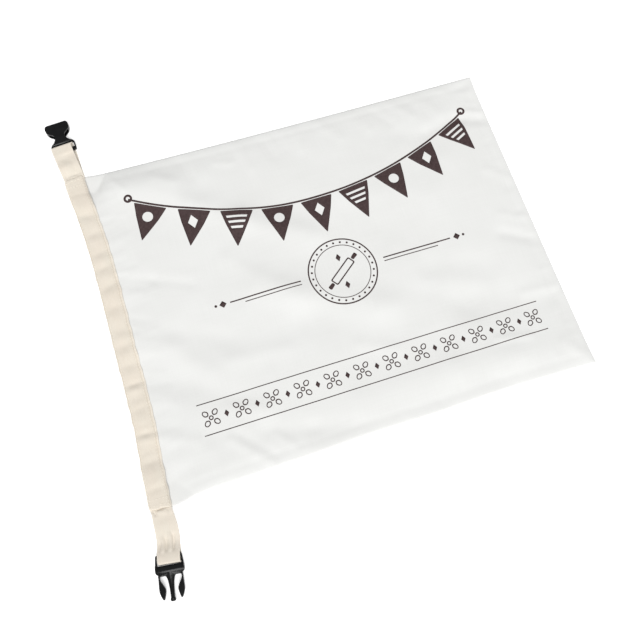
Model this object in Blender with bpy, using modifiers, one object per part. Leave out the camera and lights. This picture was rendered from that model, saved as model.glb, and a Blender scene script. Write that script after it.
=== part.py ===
"""A bread bag lying flat on its back, with a side release buckle at its mouth.

Two cloth panels are sewn along both sides and the base. A webbing tape runs
across the mouth of the front panel, and a strap loop under each end of it
carries one half of a 20 mm buckle.

Every shape is first drawn in the bag's own plan. X runs from the mouth to the
base, Y runs across the mouth from the plug's side to the socket's side, and Z
is up from the surface that the bag lies on. At the end the whole bag moves so
that the origin is under the middle of its box.
"""
import math
from collections import namedtuple

import bmesh
import bpy
from mathutils import Matrix, Vector

MM = 0.001
NAME = "bread_bag"

# Driving dimensions, in metres
BAG_LENGTH = 432 * MM
BAG_WIDTH = 330 * MM
CLOTH = 1.1 * MM
GAP = 0.3 * MM
TAPE_WIDTH = 20 * MM
TAPE_THICK = 1.1 * MM

# How high the empty bag stands open inside, and how fast it rises from a seam
PUFF = 9 * MM
MOUTH_PUFF = 6.6 * MM
SEAM_RISE = 20 * MM
MOUTH_RISE = 110 * MM
FOLD_FADE = 14 * MM

# The corners of the mouth stay flat where the straps are sewn in
FLAT_CORNER = 20 * MM
FLAT_CORNER_START = 25 * MM
FLAT_CORNER_END = 75 * MM

# Strap loops
TAIL = 13 * MM
TAPE_LEVEL_END = 20 * MM
TAPE_DROP_END = 45 * MM
STRAP_STEP = 3 * MM
BEND_POINTS = 10

# Cells of the cloth
TAPE_COLUMNS = 2
BODY_COLUMNS = 34
ROWS = 34
BACK_COLUMNS = 12
BACK_ROWS = 10
STRAP_COLUMNS = 2
CLOTH_CREASE = math.radians(40)
BUCKLE_CREASE = math.radians(35)

# Buckle, all in its own plan: X across, Y outward from the rear end
BUCKLE_WIDTH = 24 * MM
SLOT_WIDTH = 20.8 * MM
BAR_LENGTH = 3.5 * MM
BUCKLE_EDGE = 0.7 * MM
CUT_OVER = 4 * MM
WELD = 0.01 * MM

SOCKET_LENGTH = 33.3 * MM
SOCKET_THICK = 8 * MM
SOCKET_FRAME_THICK = 2.8 * MM
SOCKET_FRAME_END = 9.4 * MM
SOCKET_SLOT_END = 9.9 * MM
SOCKET_CAVITY_HEIGHT = 4.8 * MM
SOCKET_CAVITY_START = 12.6 * MM
SOCKET_CAVITY_WIDTH = 20 * MM

PLUG_THICK = 6.6 * MM
PLUG_FRAME_THICK = 2.4 * MM
PLUG_FRAME_END = 8.2 * MM
PLUG_SLOT_END = 9.2 * MM
PRONG_THICK = 4.6 * MM

# Outline of the bag in millimetres: the place along an edge, and how far the edge lies
# there past the bag's straight rectangle. Y counts up to the high edge and X to the base.
Edge = namedtuple("Edge", "along out")
MOUTH_EDGE = [Edge(*row) for row in (
    (-8, 0.3), (0, 0.4), (20, 1.4), (49, 3.5), (77, 5.5), (138, 6.4), (219, 7.2),
    (254, 6.7), (290, 4.2), (308, 2.3), (330, 0.5), (340, 0.4))]
BASE_EDGE = [Edge(*row) for row in (
    (-8, 2.0), (0, 1.4), (25, 0.0), (165, -0.6), (305, 0.0), (330, 1.4), (340, 2.0))]
LOW_EDGE = [Edge(*row) for row in (
    (-8, -3.2), (22, -3.0), (31, -1.8), (42, 0.6), (64, 1.7), (98, 2.0), (155, 3.2),
    (213, 4.5), (272, 4.0), (333, 5.2), (394, 4.0), (432, 2.4), (440, 2.2))]
HIGH_EDGE = [Edge(*row) for row in (
    (-8, 1.8), (20, 1.6), (32, 0.2), (60, -0.6), (155, -1.4), (250, -1.5),
    (350, -1.0), (432, -0.2), (440, 0.0))]

# Main folds of the front panel: a ridge or, where the height is negative, a trough
Fold = namedtuple("Fold", "x0 y0 x1 y1 reach height")
FOLDS = [Fold(*row) for row in (
    (34, 308, 100, 240, 20, 1.5),
    (100, 240, 150, 170, 20, 1.4),
    (150, 170, 220, 100, 22, 1.3),
    (60, 312, 150, 302, 15, -1.3),
    (165, 245, 230, 190, 18, -1.8),
    (200, 140, 290, 120, 18, -1.6),
    (230, 61, 400, 58, 16, -1.6),
    (200, 28, 350, 32, 15, 1.5),
    (350, 298, 425, 288, 16, 1.7),
    (28, 212, 80, 195, 12, -1.5),
    (26, 110, 80, 75, 13, -1.6),
    (30, 137, 75, 102, 12, 1.4),
    (26, 60, 70, 44, 12, -1.2),
    (125, 24, 190, 24, 11, -1.2),
    (250, 240, 340, 215, 24, 1.3),
    (300, 300, 340, 250, 16, -1.2),
    (400, 166, 430, 148, 10, -1.2),
    (330, 160, 395, 120, 20, 1.2))]

# A strap loop: its place and heading at the bag's side and the buckle it carries
Strap = namedtuple("Strap", "x y facing lean_start lean_end rear fold height bar")
SOCKET_STRAP = Strap(
    x=11.2 * MM, y=BAG_WIDTH + 1.6 * MM, facing=0.0, lean_start=math.radians(1.6),
    lean_end=math.radians(4.5), rear=30.3 * MM, fold=39.7 * MM, height=SOCKET_THICK / 2,
    bar=SOCKET_FRAME_THICK)
PLUG_STRAP = Strap(
    x=10.5 * MM, y=-3.0 * MM, facing=math.pi, lean_start=math.radians(-4.2),
    lean_end=math.radians(-8.1), rear=36.7 * MM, fold=45.4 * MM, height=PLUG_THICK / 2,
    bar=PLUG_FRAME_THICK)

# Half outlines of the buckle from its middle line, as across and outward in millimetres
SOCKET_SIDE = (
    (11.7, 0.4), (12.0, 1.4), (12.0, 8.4), (11.2, 10.1), (9.2, 11.3), (7.2, 12.3), (5.7, 14.2),
    (5.0, 16.4), (5.0, 18.4), (5.8, 20.4), (8.6, 22.4), (10.6, 24.2), (11.6, 26.4), (12.0, 29.6),
    (11.7, 31.6), (10.7, 32.8), (8.9, 33.3))
PLUG_FRAME_SIDE = (
    (10.8, 0.0), (11.3, 0.9), (11.9, 6.0), (12.3, 10.0), (12.4, 14.2), (12.1, 15.5), (11.3, 16.3))
PRONG_OUTER = (
    (10.4, 14.4), (10.5, 20.0), (10.8, 27.4), (10.7, 30.0), (10.1, 32.4), (9.2, 34.8), (8.2, 36.8))
PRONG_TIP = ((7.7, 37.1), (7.0, 36.7))
PRONG_INNER = ((6.1, 34.0), (5.3, 31.0), (5.2, 28.6), (6.4, 25.8), (8.3, 22.6), (9.1, 20.6), (9.2, 18.9))
WEB = ((8.9, 18.0), (8.1, 17.6), (4.7, 17.6), (3.6, 18.2))
TONGUE = ((3.0, 20.0), (2.4, 23.0), (1.9, 28.0), (1.6, 35.8), (2.2, 36.6), (2.2, 37.9), (1.3, 38.8))

Finish = namedtuple("Finish", "colour roughness metallic")
CLOTH_FINISH = Finish(colour=(0.80, 0.80, 0.78), roughness=0.90, metallic=0.0)
TAPE_FINISH = Finish(colour=(0.79, 0.72, 0.60), roughness=0.92, metallic=0.0)
BUCKLE_FINISH = Finish(colour=(0.018, 0.020, 0.022), roughness=0.35, metallic=0.0)


def clear_scene():
    for item in list(bpy.data.objects):
        bpy.data.objects.remove(item, do_unlink=True)


def collection(name):
    found = bpy.data.collections.get(name) or bpy.data.collections.new(name)
    if found.name not in bpy.context.scene.collection.children:
        bpy.context.scene.collection.children.link(found)
    return found


def material(name, finish):
    made = bpy.data.materials.new(name)
    made.use_nodes = True
    shader = made.node_tree.nodes["Principled BSDF"]
    shader.inputs["Base Color"].default_value = (*finish.colour, 1.0)
    shader.inputs["Roughness"].default_value = finish.roughness
    shader.inputs["Metallic"].default_value = finish.metallic
    return made


def mix(start, end, share):
    return start + (end - start) * share


def smooth(value):
    value = min(max(value, 0.0), 1.0)
    return value * value * (3.0 - 2.0 * value)


def edge_at(rows, along):
    """Distance past the rectangle at a place along an edge, on a smooth curve through its rows."""
    place = along / MM
    last = len(rows) - 2
    index = next((i for i in range(last) if place < rows[i + 1].along), last)
    before, start = rows[max(index - 1, 0)], rows[index]
    end, after = rows[index + 1], rows[min(index + 2, last + 1)]
    span = end.along - start.along
    share = (place - start.along) / span
    slope_start = (end.out - before.out) / max(end.along - before.along, 1) * span
    slope_end = (after.out - start.out) / max(after.along - start.along, 1) * span
    square, cube = share ** 2, share ** 3
    return MM * (
        (2 * cube - 3 * square + 1) * start.out + (cube - 2 * square + share) * slope_start
        + (3 * square - 2 * cube) * end.out + (cube - square) * slope_end)


def fold_height(fold, x, y):
    """Height of one fold at a point, fading across its reach and past its ends."""
    start = Vector((fold.x0, fold.y0)) * MM
    run = Vector((fold.x1, fold.y1)) * MM - start
    point = Vector((x, y)) - start
    share = min(max(point.dot(run) / run.length_squared, 0.0), 1.0)
    away = (point - run * share).length / (fold.reach * MM)
    return fold.height * MM * math.exp(-away * away)


def rise(x, y):
    """How far the front panel stands off its lowest lie, at a point of the plan."""
    past_tape = (x - FLAT_CORNER_START) / (FLAT_CORNER_END - FLAT_CORNER_START)
    flat = FLAT_CORNER * (1.0 - smooth(past_tape))
    low = max(y - edge_at(LOW_EDGE, x) - flat, 0.0)
    high = max(BAG_WIDTH + edge_at(HIGH_EDGE, x) - y - flat, 0.0)
    base = max(BAG_LENGTH + edge_at(BASE_EDGE, y) - x, 0.0)
    full = mix(MOUTH_PUFF, PUFF, smooth(x / MOUTH_RISE))
    for inward in (low, high, base):
        full *= 1.0 - math.exp(-inward / SEAM_RISE)
    fade = 1.0 - math.exp(-min(low, high, base) / FOLD_FADE)
    return max(full + fade * sum(fold_height(fold, x, y) for fold in FOLDS), 0.0)


def plan_point(column, row, columns_past_tape=BODY_COLUMNS):
    """Plan position of a grid point, the first columns lying across the tape."""
    across = row * BAG_WIDTH
    mouth = edge_at(MOUTH_EDGE, across)
    if column <= TAPE_COLUMNS:
        x = mouth + TAPE_WIDTH * column / TAPE_COLUMNS
    else:
        share = (column - TAPE_COLUMNS) / columns_past_tape
        x = mix(mouth + TAPE_WIDTH, BAG_LENGTH + edge_at(BASE_EDGE, across), share)
    return x, mix(edge_at(LOW_EDGE, x), BAG_WIDTH + edge_at(HIGH_EDGE, x), row)


def add_object(name, mesh, finish, parent):
    mesh.name = name
    made = bpy.data.objects.new(name, mesh)
    made.data.materials.append(material(name + "_finish", finish))
    made.parent = parent
    collection(NAME).objects.link(made)
    return made


def sheet(name, columns, rows, place, thick, finish, parent):
    """A sheet whose grid points are placed by a function and raised by its thickness."""
    mesh = bmesh.new()
    bmesh.ops.create_grid(mesh, x_segments=columns, y_segments=rows, size=0.5)
    for vert in mesh.verts:
        column = round((vert.co.x + 0.5) * columns)
        row = (vert.co.y + 0.5) * rows
        vert.co = Vector(place(column, round(row) / rows))
    bmesh.ops.triangulate(mesh, faces=mesh.faces[:], quad_method="FIXED")
    raised = bmesh.ops.extrude_face_region(mesh, geom=mesh.faces[:])["geom"]
    verts = [item for item in raised if isinstance(item, bmesh.types.BMVert)]
    bmesh.ops.translate(mesh, verts=verts, vec=(0.0, 0.0, thick))
    bmesh.ops.recalc_face_normals(mesh, faces=mesh.faces[:])
    data = bpy.data.meshes.new(name)
    mesh.to_mesh(data)
    mesh.free()
    made = add_object(name, data, finish, parent)
    data.shade_smooth()
    data.set_sharp_from_angle(angle=CLOTH_CREASE)
    return made


def back_panel(parent):
    def place(column, row):
        x, y = plan_point(column, row, BACK_COLUMNS)
        return x, y, 0.0
    return sheet("back_panel", TAPE_COLUMNS + BACK_COLUMNS, BACK_ROWS, place, CLOTH,
                 CLOTH_FINISH, parent)


def front_panel(parent):
    def place(column, row):
        x, y = plan_point(column, row)
        return x, y, CLOTH + GAP + rise(x, y)
    return sheet("front_panel", TAPE_COLUMNS + BODY_COLUMNS, ROWS, place, CLOTH,
                 CLOTH_FINISH, parent)


def tape_lift(row):
    """Extra height of the tape's ends, which lie over the strap loops' two layers."""
    from_end = min(row, 1.0 - row) * BAG_WIDTH
    down = smooth((from_end - TAPE_LEVEL_END) / (TAPE_DROP_END - TAPE_LEVEL_END))
    return 2 * (TAPE_THICK + GAP) * (1.0 - down)


def mouth_tape(parent):
    def place(column, row):
        x, y = plan_point(column, row)
        return x, y, 2 * (CLOTH + GAP) + rise(x, y) + tape_lift(row)
    return sheet("mouth_tape", TAPE_COLUMNS, ROWS, place, TAPE_THICK, TAPE_FINISH, parent)


def strap_heading(strap, along):
    return mix(strap.lean_start, strap.lean_end, min(max(along / strap.fold, 0.0), 1.0))


def strap_middle(strap, along):
    """Sideways place of the strap's middle line, which bends evenly to its buckle."""
    straight = min(along, 0.0) * strap.lean_start
    bent = max(along, 0.0)
    curve = (strap.lean_end - strap.lean_start) * bent ** 2 / (2 * strap.fold)
    return -(straight + strap.lean_start * bent + curve)


def loop_route(strap):
    """Side view of a strap loop: out under the bar, around in the slot and back over it."""
    radius = strap.bar / 2 + GAP + TAPE_THICK / 2
    turn = strap.fold - radius - TAPE_THICK / 2
    level = strap.rear - STRAP_STEP
    under_tape = 2 * (CLOTH + GAP) + TAPE_THICK / 2
    layers = ((under_tape, strap.height - radius),
              (under_tape + TAPE_THICK + GAP, strap.height + radius))
    steps = round((level + TAIL) / STRAP_STEP)
    places = [mix(-TAIL, level, step / steps) for step in range(steps + 1)]
    start = STRAP_STEP + GAP
    out, back = [
        [(s, mix(sewn, round_bar, smooth((s - start) / (level - start)))) for s in places]
        for sewn, round_bar in layers]
    angles = [math.pi * step / BEND_POINTS - math.pi / 2 for step in range(BEND_POINTS + 1)]
    bend = [(turn + radius * math.cos(a), strap.height + radius * math.sin(a)) for a in angles]
    return out + bend + back[::-1]


def strap_loop(name, strap, parent):
    route = loop_route(strap)
    mesh = bmesh.new()
    bmesh.ops.create_grid(mesh, x_segments=STRAP_COLUMNS, y_segments=len(route) - 1, size=0.5)
    for vert in mesh.verts:
        along, height = route[round((vert.co.y + 0.5) * (len(route) - 1))]
        heading = strap_heading(strap, along)
        across = vert.co.x * TAPE_WIDTH
        vert.co = (strap_middle(strap, along) + across * math.cos(heading),
                   along + across * math.sin(heading), height)
    data = bpy.data.meshes.new(name)
    mesh.to_mesh(data)
    mesh.free()
    loop = add_object(name, data, TAPE_FINISH, parent)
    data.shade_smooth()
    loop.location = (strap.x, strap.y, 0.0)
    loop.rotation_euler = (0.0, 0.0, strap.facing)
    thick = loop.modifiers.new("thickness", "SOLIDIFY")
    thick.thickness = TAPE_THICK
    thick.offset = 0.0
    thick.use_even_offset = True
    return loop


def outline(half):
    """Both sides of an outline that is drawn for its right half, in metres."""
    right = [(x * MM, y * MM) for x, y in half]
    return right + [(-x, y) for x, y in reversed(right)]


def plate(name, points, thick, edge=0.0):
    """A flat outline extruded about its middle plane, as a mesh with welded caps."""
    curve = bpy.data.curves.new(name, "CURVE")
    curve.dimensions = "2D"
    curve.fill_mode = "BOTH"
    curve.extrude = thick / 2
    spline = curve.splines.new("POLY")
    spline.points.add(len(points) - 1)
    for point, (x, y) in zip(spline.points, points):
        point.co = (x, y, 0.0, 1.0)
    spline.use_cyclic_u = True
    drawn = bpy.data.objects.new(name, curve)
    bpy.context.scene.collection.objects.link(drawn)
    graph = bpy.context.evaluated_depsgraph_get()
    data = bpy.data.meshes.new_from_object(drawn.evaluated_get(graph))
    bpy.data.objects.remove(drawn, do_unlink=True)
    mesh = bmesh.new()
    mesh.from_mesh(data)
    bmesh.ops.remove_doubles(mesh, verts=mesh.verts[:], dist=WELD)
    bmesh.ops.dissolve_limit(mesh, angle_limit=math.radians(1), verts=mesh.verts[:],
                             edges=mesh.edges[:])
    bmesh.ops.recalc_face_normals(mesh, faces=mesh.faces[:])
    if edge:
        rim = [e for e in mesh.edges if abs(e.verts[0].co.z - e.verts[1].co.z) < GAP]
        bmesh.ops.bevel(mesh, geom=rim, offset=edge, segments=2, profile=0.5, affect="EDGES")
    mesh.to_mesh(data)
    mesh.free()
    return data


def block(name, low, high):
    """A box between two corners, as a mesh."""
    data = bpy.data.meshes.new(name)
    mesh = bmesh.new()
    size = [b - a for a, b in zip(low, high)]
    middle = [(a + b) / 2 for a, b in zip(low, high)]
    place = Matrix.Translation(middle) @ Matrix.Diagonal((*size, 1.0))
    bmesh.ops.create_cube(mesh, size=1.0, matrix=place)
    mesh.to_mesh(data)
    mesh.free()
    return data


def combine(body, data, operation):
    """Cuts a mesh out of a body, or joins it to the body, with a hidden helper."""
    helper = bpy.data.objects.new(data.name, data)
    collection("cutters").objects.link(helper)
    helper.parent = body
    helper.hide_render = True
    helper.display_type = "WIRE"
    step = body.modifiers.new(data.name, "BOOLEAN")
    step.operation = operation
    step.solver = "EXACT"
    step.object = helper


def cut_strap_frame(body, thick, frame_thick, frame_end, slot_end):
    """Thins the rear of a buckle half to its strap frame, and cuts the strap's slot."""
    half = SLOT_WIDTH / 2
    wide = BUCKLE_WIDTH
    name = body.name
    for side, place in ((1, "_frame_top"), (-1, "_frame_bottom")):
        levels = sorted((side * frame_thick / 2, side * thick))
        combine(body, block(name + place, (-wide, -CUT_OVER, levels[0]),
                            (wide, frame_end, levels[1])), "DIFFERENCE")
    combine(body, block(name + "_slot", (-half, BAR_LENGTH, -thick),
                        (half, slot_end, thick)), "DIFFERENCE")


def seat_on_strap(body, strap):
    """Turns a buckle half to its strap's heading and sets its bar inside the loop."""
    local = Vector((strap_middle(strap, strap.rear), strap.rear, 0.0))
    local.rotate(Matrix.Rotation(strap.facing, 3, "Z"))
    body.location = Vector((strap.x, strap.y, strap.height)) + local
    body.rotation_euler = (0.0, 0.0, strap.facing + strap.lean_end)


def buckle_socket(parent):
    data = plate("buckle_socket", outline(SOCKET_SIDE), SOCKET_THICK, BUCKLE_EDGE)
    body = add_object("buckle_socket", data, BUCKLE_FINISH, parent)
    cut_strap_frame(body, SOCKET_THICK, SOCKET_FRAME_THICK, SOCKET_FRAME_END, SOCKET_SLOT_END)
    half = SOCKET_CAVITY_WIDTH / 2
    combine(body, block("socket_cavity", (-half, SOCKET_CAVITY_START, -SOCKET_CAVITY_HEIGHT / 2),
                        (half, SOCKET_LENGTH + CUT_OVER, SOCKET_CAVITY_HEIGHT / 2)), "DIFFERENCE")
    seat_on_strap(body, SOCKET_STRAP)
    return body


def buckle_plug(parent):
    data = plate("buckle_plug", outline(PLUG_FRAME_SIDE), PLUG_THICK, BUCKLE_EDGE)
    body = add_object("buckle_plug", data, BUCKLE_FINISH, parent)
    cut_strap_frame(body, PLUG_THICK, PLUG_FRAME_THICK, PLUG_FRAME_END, PLUG_SLOT_END)
    fork = PRONG_OUTER + PRONG_TIP + PRONG_INNER + WEB + TONGUE
    combine(body, plate("plug_fork", outline(fork), PRONG_THICK), "UNION")
    seat_on_strap(body, PLUG_STRAP)
    return body


def shade_buckle(body):
    body.data.shade_smooth()
    body.data.set_sharp_from_angle(angle=BUCKLE_CREASE)


def centre_on_origin(frame):
    """Moves the whole bag so that the origin lies under the middle of its box."""
    bpy.context.view_layer.update()
    graph = bpy.context.evaluated_depsgraph_get()
    corners = []
    for item in collection(NAME).objects:
        if item.type == "MESH":
            solid = item.evaluated_get(graph)
            corners += [solid.matrix_world @ vert.co for vert in solid.data.vertices]
    middle = [(min(c[axis] for c in corners) + max(c[axis] for c in corners)) / 2 for axis in (0, 1)]
    frame.location = (-middle[0], -middle[1], -min(c.z for c in corners))


def main():
    clear_scene()
    frame = bpy.data.objects.new(NAME + "_frame", None)
    collection(NAME).objects.link(frame)
    back_panel(frame)
    front_panel(frame)
    mouth_tape(frame)
    strap_loop("socket_loop", SOCKET_STRAP, frame)
    strap_loop("plug_loop", PLUG_STRAP, frame)
    shade_buckle(buckle_socket(frame))
    shade_buckle(buckle_plug(frame))
    centre_on_origin(frame)


main()
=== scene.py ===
"""Looks of a white cloth bread bag that lies on its back.

The bag is drawn in its own plan: X runs from the mouth to the base, Y across the
mouth from the plug's side to the socket's side, and Z is up from the surface. The
plan's zero is found from the front panel's box, so every piece lands on the frame.
"""

import logging
import math
from dataclasses import dataclass, field
from enum import Enum

import bmesh
import bpy
import numpy as np
from mathutils import Euler, Matrix, Vector, noise


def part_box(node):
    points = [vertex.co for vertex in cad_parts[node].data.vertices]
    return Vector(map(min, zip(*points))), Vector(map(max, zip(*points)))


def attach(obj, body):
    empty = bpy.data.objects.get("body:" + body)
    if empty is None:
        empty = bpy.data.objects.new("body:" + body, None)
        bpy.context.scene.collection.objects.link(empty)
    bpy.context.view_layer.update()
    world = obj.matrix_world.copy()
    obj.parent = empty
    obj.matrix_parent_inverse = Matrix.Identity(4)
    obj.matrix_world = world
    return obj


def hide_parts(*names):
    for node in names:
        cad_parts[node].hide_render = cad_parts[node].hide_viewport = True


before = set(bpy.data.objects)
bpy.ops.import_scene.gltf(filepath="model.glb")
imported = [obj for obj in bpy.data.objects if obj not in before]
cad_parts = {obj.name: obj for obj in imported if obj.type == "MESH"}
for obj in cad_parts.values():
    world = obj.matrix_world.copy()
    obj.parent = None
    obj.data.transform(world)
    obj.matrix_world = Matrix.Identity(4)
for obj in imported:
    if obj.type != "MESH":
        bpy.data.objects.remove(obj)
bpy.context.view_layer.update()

log = logging.getLogger("bread_bag")

MM = 0.001
BODY = "root"
Points = list[tuple[float, float]]


class Half(Enum):
    """The two halves of the buckle, named as their solids are."""

    SOCKET = "socket"
    PLUG = "plug"


class Slot(Enum):
    """Material slots of the record."""

    CLOTH = "white_cloth"
    WEBBING = "cream_webbing"
    PLASTIC = "black_plastic"


class Seam(Enum):
    """The edges along which the two panels are sewn together."""

    LOW = "low"
    HIGH = "high"
    BASE = "base"


def blend_between(start: np.ndarray, end: np.ndarray, share: np.ndarray) -> np.ndarray:
    """Return the value that lies a share of the way from start to end."""
    return start + (end - start) * share


def smooth(value: np.ndarray) -> np.ndarray:
    """Return a smooth step of a value between 0 and 1."""
    value = np.clip(value, 0.0, 1.0)
    return value * value * (3.0 - 2.0 * value)


def bump_at(value: np.ndarray, centre: float, reach: float) -> np.ndarray:
    """Return a soft bump of height 1 about a centre."""
    return np.exp(-(((value - centre) / reach) ** 2))


# Materials


class Nodes:
    """A short hand for building one material's node tree."""

    def __init__(self, name: str) -> None:
        """Start a material with a Principled shader.

        Args:
            name: Name of the material.
        """
        self.material = bpy.data.materials.new(name)
        self.material.use_nodes = True
        self.tree = self.material.node_tree
        self.shader = self.tree.nodes["Principled BSDF"]

    def add(self, kind: str, inputs: dict | None = None, **settings) -> bpy.types.Node:
        """Add a node.

        Args:
            kind: Blender's name for the node's type.
            inputs: Values or sockets for its inputs, by name or index.
            settings: Properties of the node.

        Returns:
            The new node.
        """
        node = self.tree.nodes.new(kind)
        for key, value in settings.items():
            setattr(node, key, value)
        for key, value in (inputs or {}).items():
            if isinstance(value, bpy.types.NodeSocket):
                self.tree.links.new(value, node.inputs[key])
            else:
                node.inputs[key].default_value = value
        return node

    def math(self, operation: str, *values) -> bpy.types.NodeSocket:
        """Add a Math node with numbers or sockets as its inputs, and return its result."""
        node = self.add("ShaderNodeMath", dict(enumerate(values)), operation=operation)
        return node.outputs[0]

    def texture(self, vector: bpy.types.NodeSocket, scale: float, detail: float = 2.0,
                rough: float = 0.5) -> bpy.types.NodeSocket:
        """Return the factor of a noise texture, its scale in cells to a metre."""
        node = self.add("ShaderNodeTexNoise", {
            "Vector": vector, "Scale": scale, "Detail": detail, "Roughness": rough})
        return node.outputs["Fac"]

    def stretched(self, vector: bpy.types.NodeSocket, scale: tuple) -> bpy.types.NodeSocket:
        """Scale coordinates unevenly and return them."""
        return self.add("ShaderNodeMapping", {"Vector": vector, "Scale": scale}).outputs[0]

    def tint(self, factor: bpy.types.NodeSocket, low: tuple, high: tuple,
             start: float = 0.3, end: float = 0.7) -> bpy.types.NodeSocket:
        """Map a factor to a colour between two colours.

        Args:
            factor: The factor.
            low: Colour at the start.
            high: Colour at the end.
            start: Factor that gives the low colour.
            end: Factor that gives the high colour.

        Returns:
            The colour socket.
        """
        ramp = self.add("ShaderNodeValToRGB", {"Fac": factor})
        for stop, place, colour in zip(ramp.color_ramp.elements, (start, end), (low, high)):
            stop.position = place
            stop.color = (*colour, 1.0)
        return ramp.outputs["Color"]

    def bump(self, height: bpy.types.NodeSocket, depth: float, strength: float = 1.0,
             normal: bpy.types.NodeSocket | None = None) -> bpy.types.NodeSocket:
        """Add a bump and return its normal.

        Args:
            height: Height from 0 to 1.
            depth: Real depth of the relief in metres.
            strength: Share of the relief that shows.
            normal: Normal of a coarser bump beneath.

        Returns:
            The normal socket.
        """
        inputs = {"Height": height, "Distance": depth, "Strength": strength}
        if normal is not None:
            inputs["Normal"] = normal
        return self.add("ShaderNodeBump", inputs).outputs[0]

    def connect(self, name: str, value: bpy.types.NodeSocket) -> None:
        """Join a socket to one of the shader's inputs."""
        self.tree.links.new(value, self.shader.inputs[name])

    def set(self, **values: float | tuple) -> None:
        """Set plain values on the shader, with underscores for spaces in its inputs' names."""
        for key, value in values.items():
            self.shader.inputs[key.replace("_", " ")].default_value = value


@dataclass(frozen=True)
class ClothFinish:
    """Smooth plain weave in undyed white yarn."""

    name: str = "white_plain_weave"
    low: tuple = (0.710, 0.711, 0.694)
    high: tuple = (0.738, 0.740, 0.725)
    pitch: float = 0.55 * MM
    depth: float = 0.05 * MM
    roughness: float = 0.88
    sheen: float = 0.18

    def build(self) -> bpy.types.Material:
        """Return the material."""
        n = Nodes(self.name)
        uv = n.add("ShaderNodeUVMap", uv_map="weave").outputs[0]
        split = n.add("ShaderNodeSeparateXYZ", {0: uv})
        turn = math.pi / self.pitch
        warp = n.math("MULTIPLY", split.outputs[0], turn)
        weft = n.math("MULTIPLY", split.outputs[1], turn)
        over = n.math("MULTIPLY", n.math("SINE", warp), n.math("SINE", weft))
        round_yarn = n.math("MULTIPLY", n.math("ABSOLUTE", n.math("COSINE", warp)),
                            n.math("ABSOLUTE", n.math("COSINE", weft)))
        weave = n.math("ADD", n.math("MULTIPLY", n.math("ABSOLUTE", over), 0.7), round_yarn)
        slub_u = n.texture(n.stretched(uv, (900.0, 28.0, 1.0)), 1.0)
        slub_v = n.texture(n.stretched(uv, (28.0, 900.0, 1.0)), 1.0)
        slub = n.math("MULTIPLY", n.math("ADD", slub_u, slub_v), 0.5)
        cloud = n.texture(uv, 14.0, 3.0)
        mottled = n.math("ADD", n.math("MULTIPLY", slub, 0.5), n.math("MULTIPLY", cloud, 0.5))
        n.connect("Base Color", n.tint(mottled, self.low, self.high, 0.36, 0.62))
        soft = n.bump(slub, self.depth * 0.6, 0.5)
        n.connect("Normal", n.bump(weave, self.depth, 0.55, soft))
        n.set(Roughness=self.roughness, Sheen_Weight=self.sheen, Sheen_Roughness=0.5,
              Sheen_Tint=(1.0, 1.0, 0.99, 1.0), Specular_IOR_Level=0.25)
        return n.material


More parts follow.
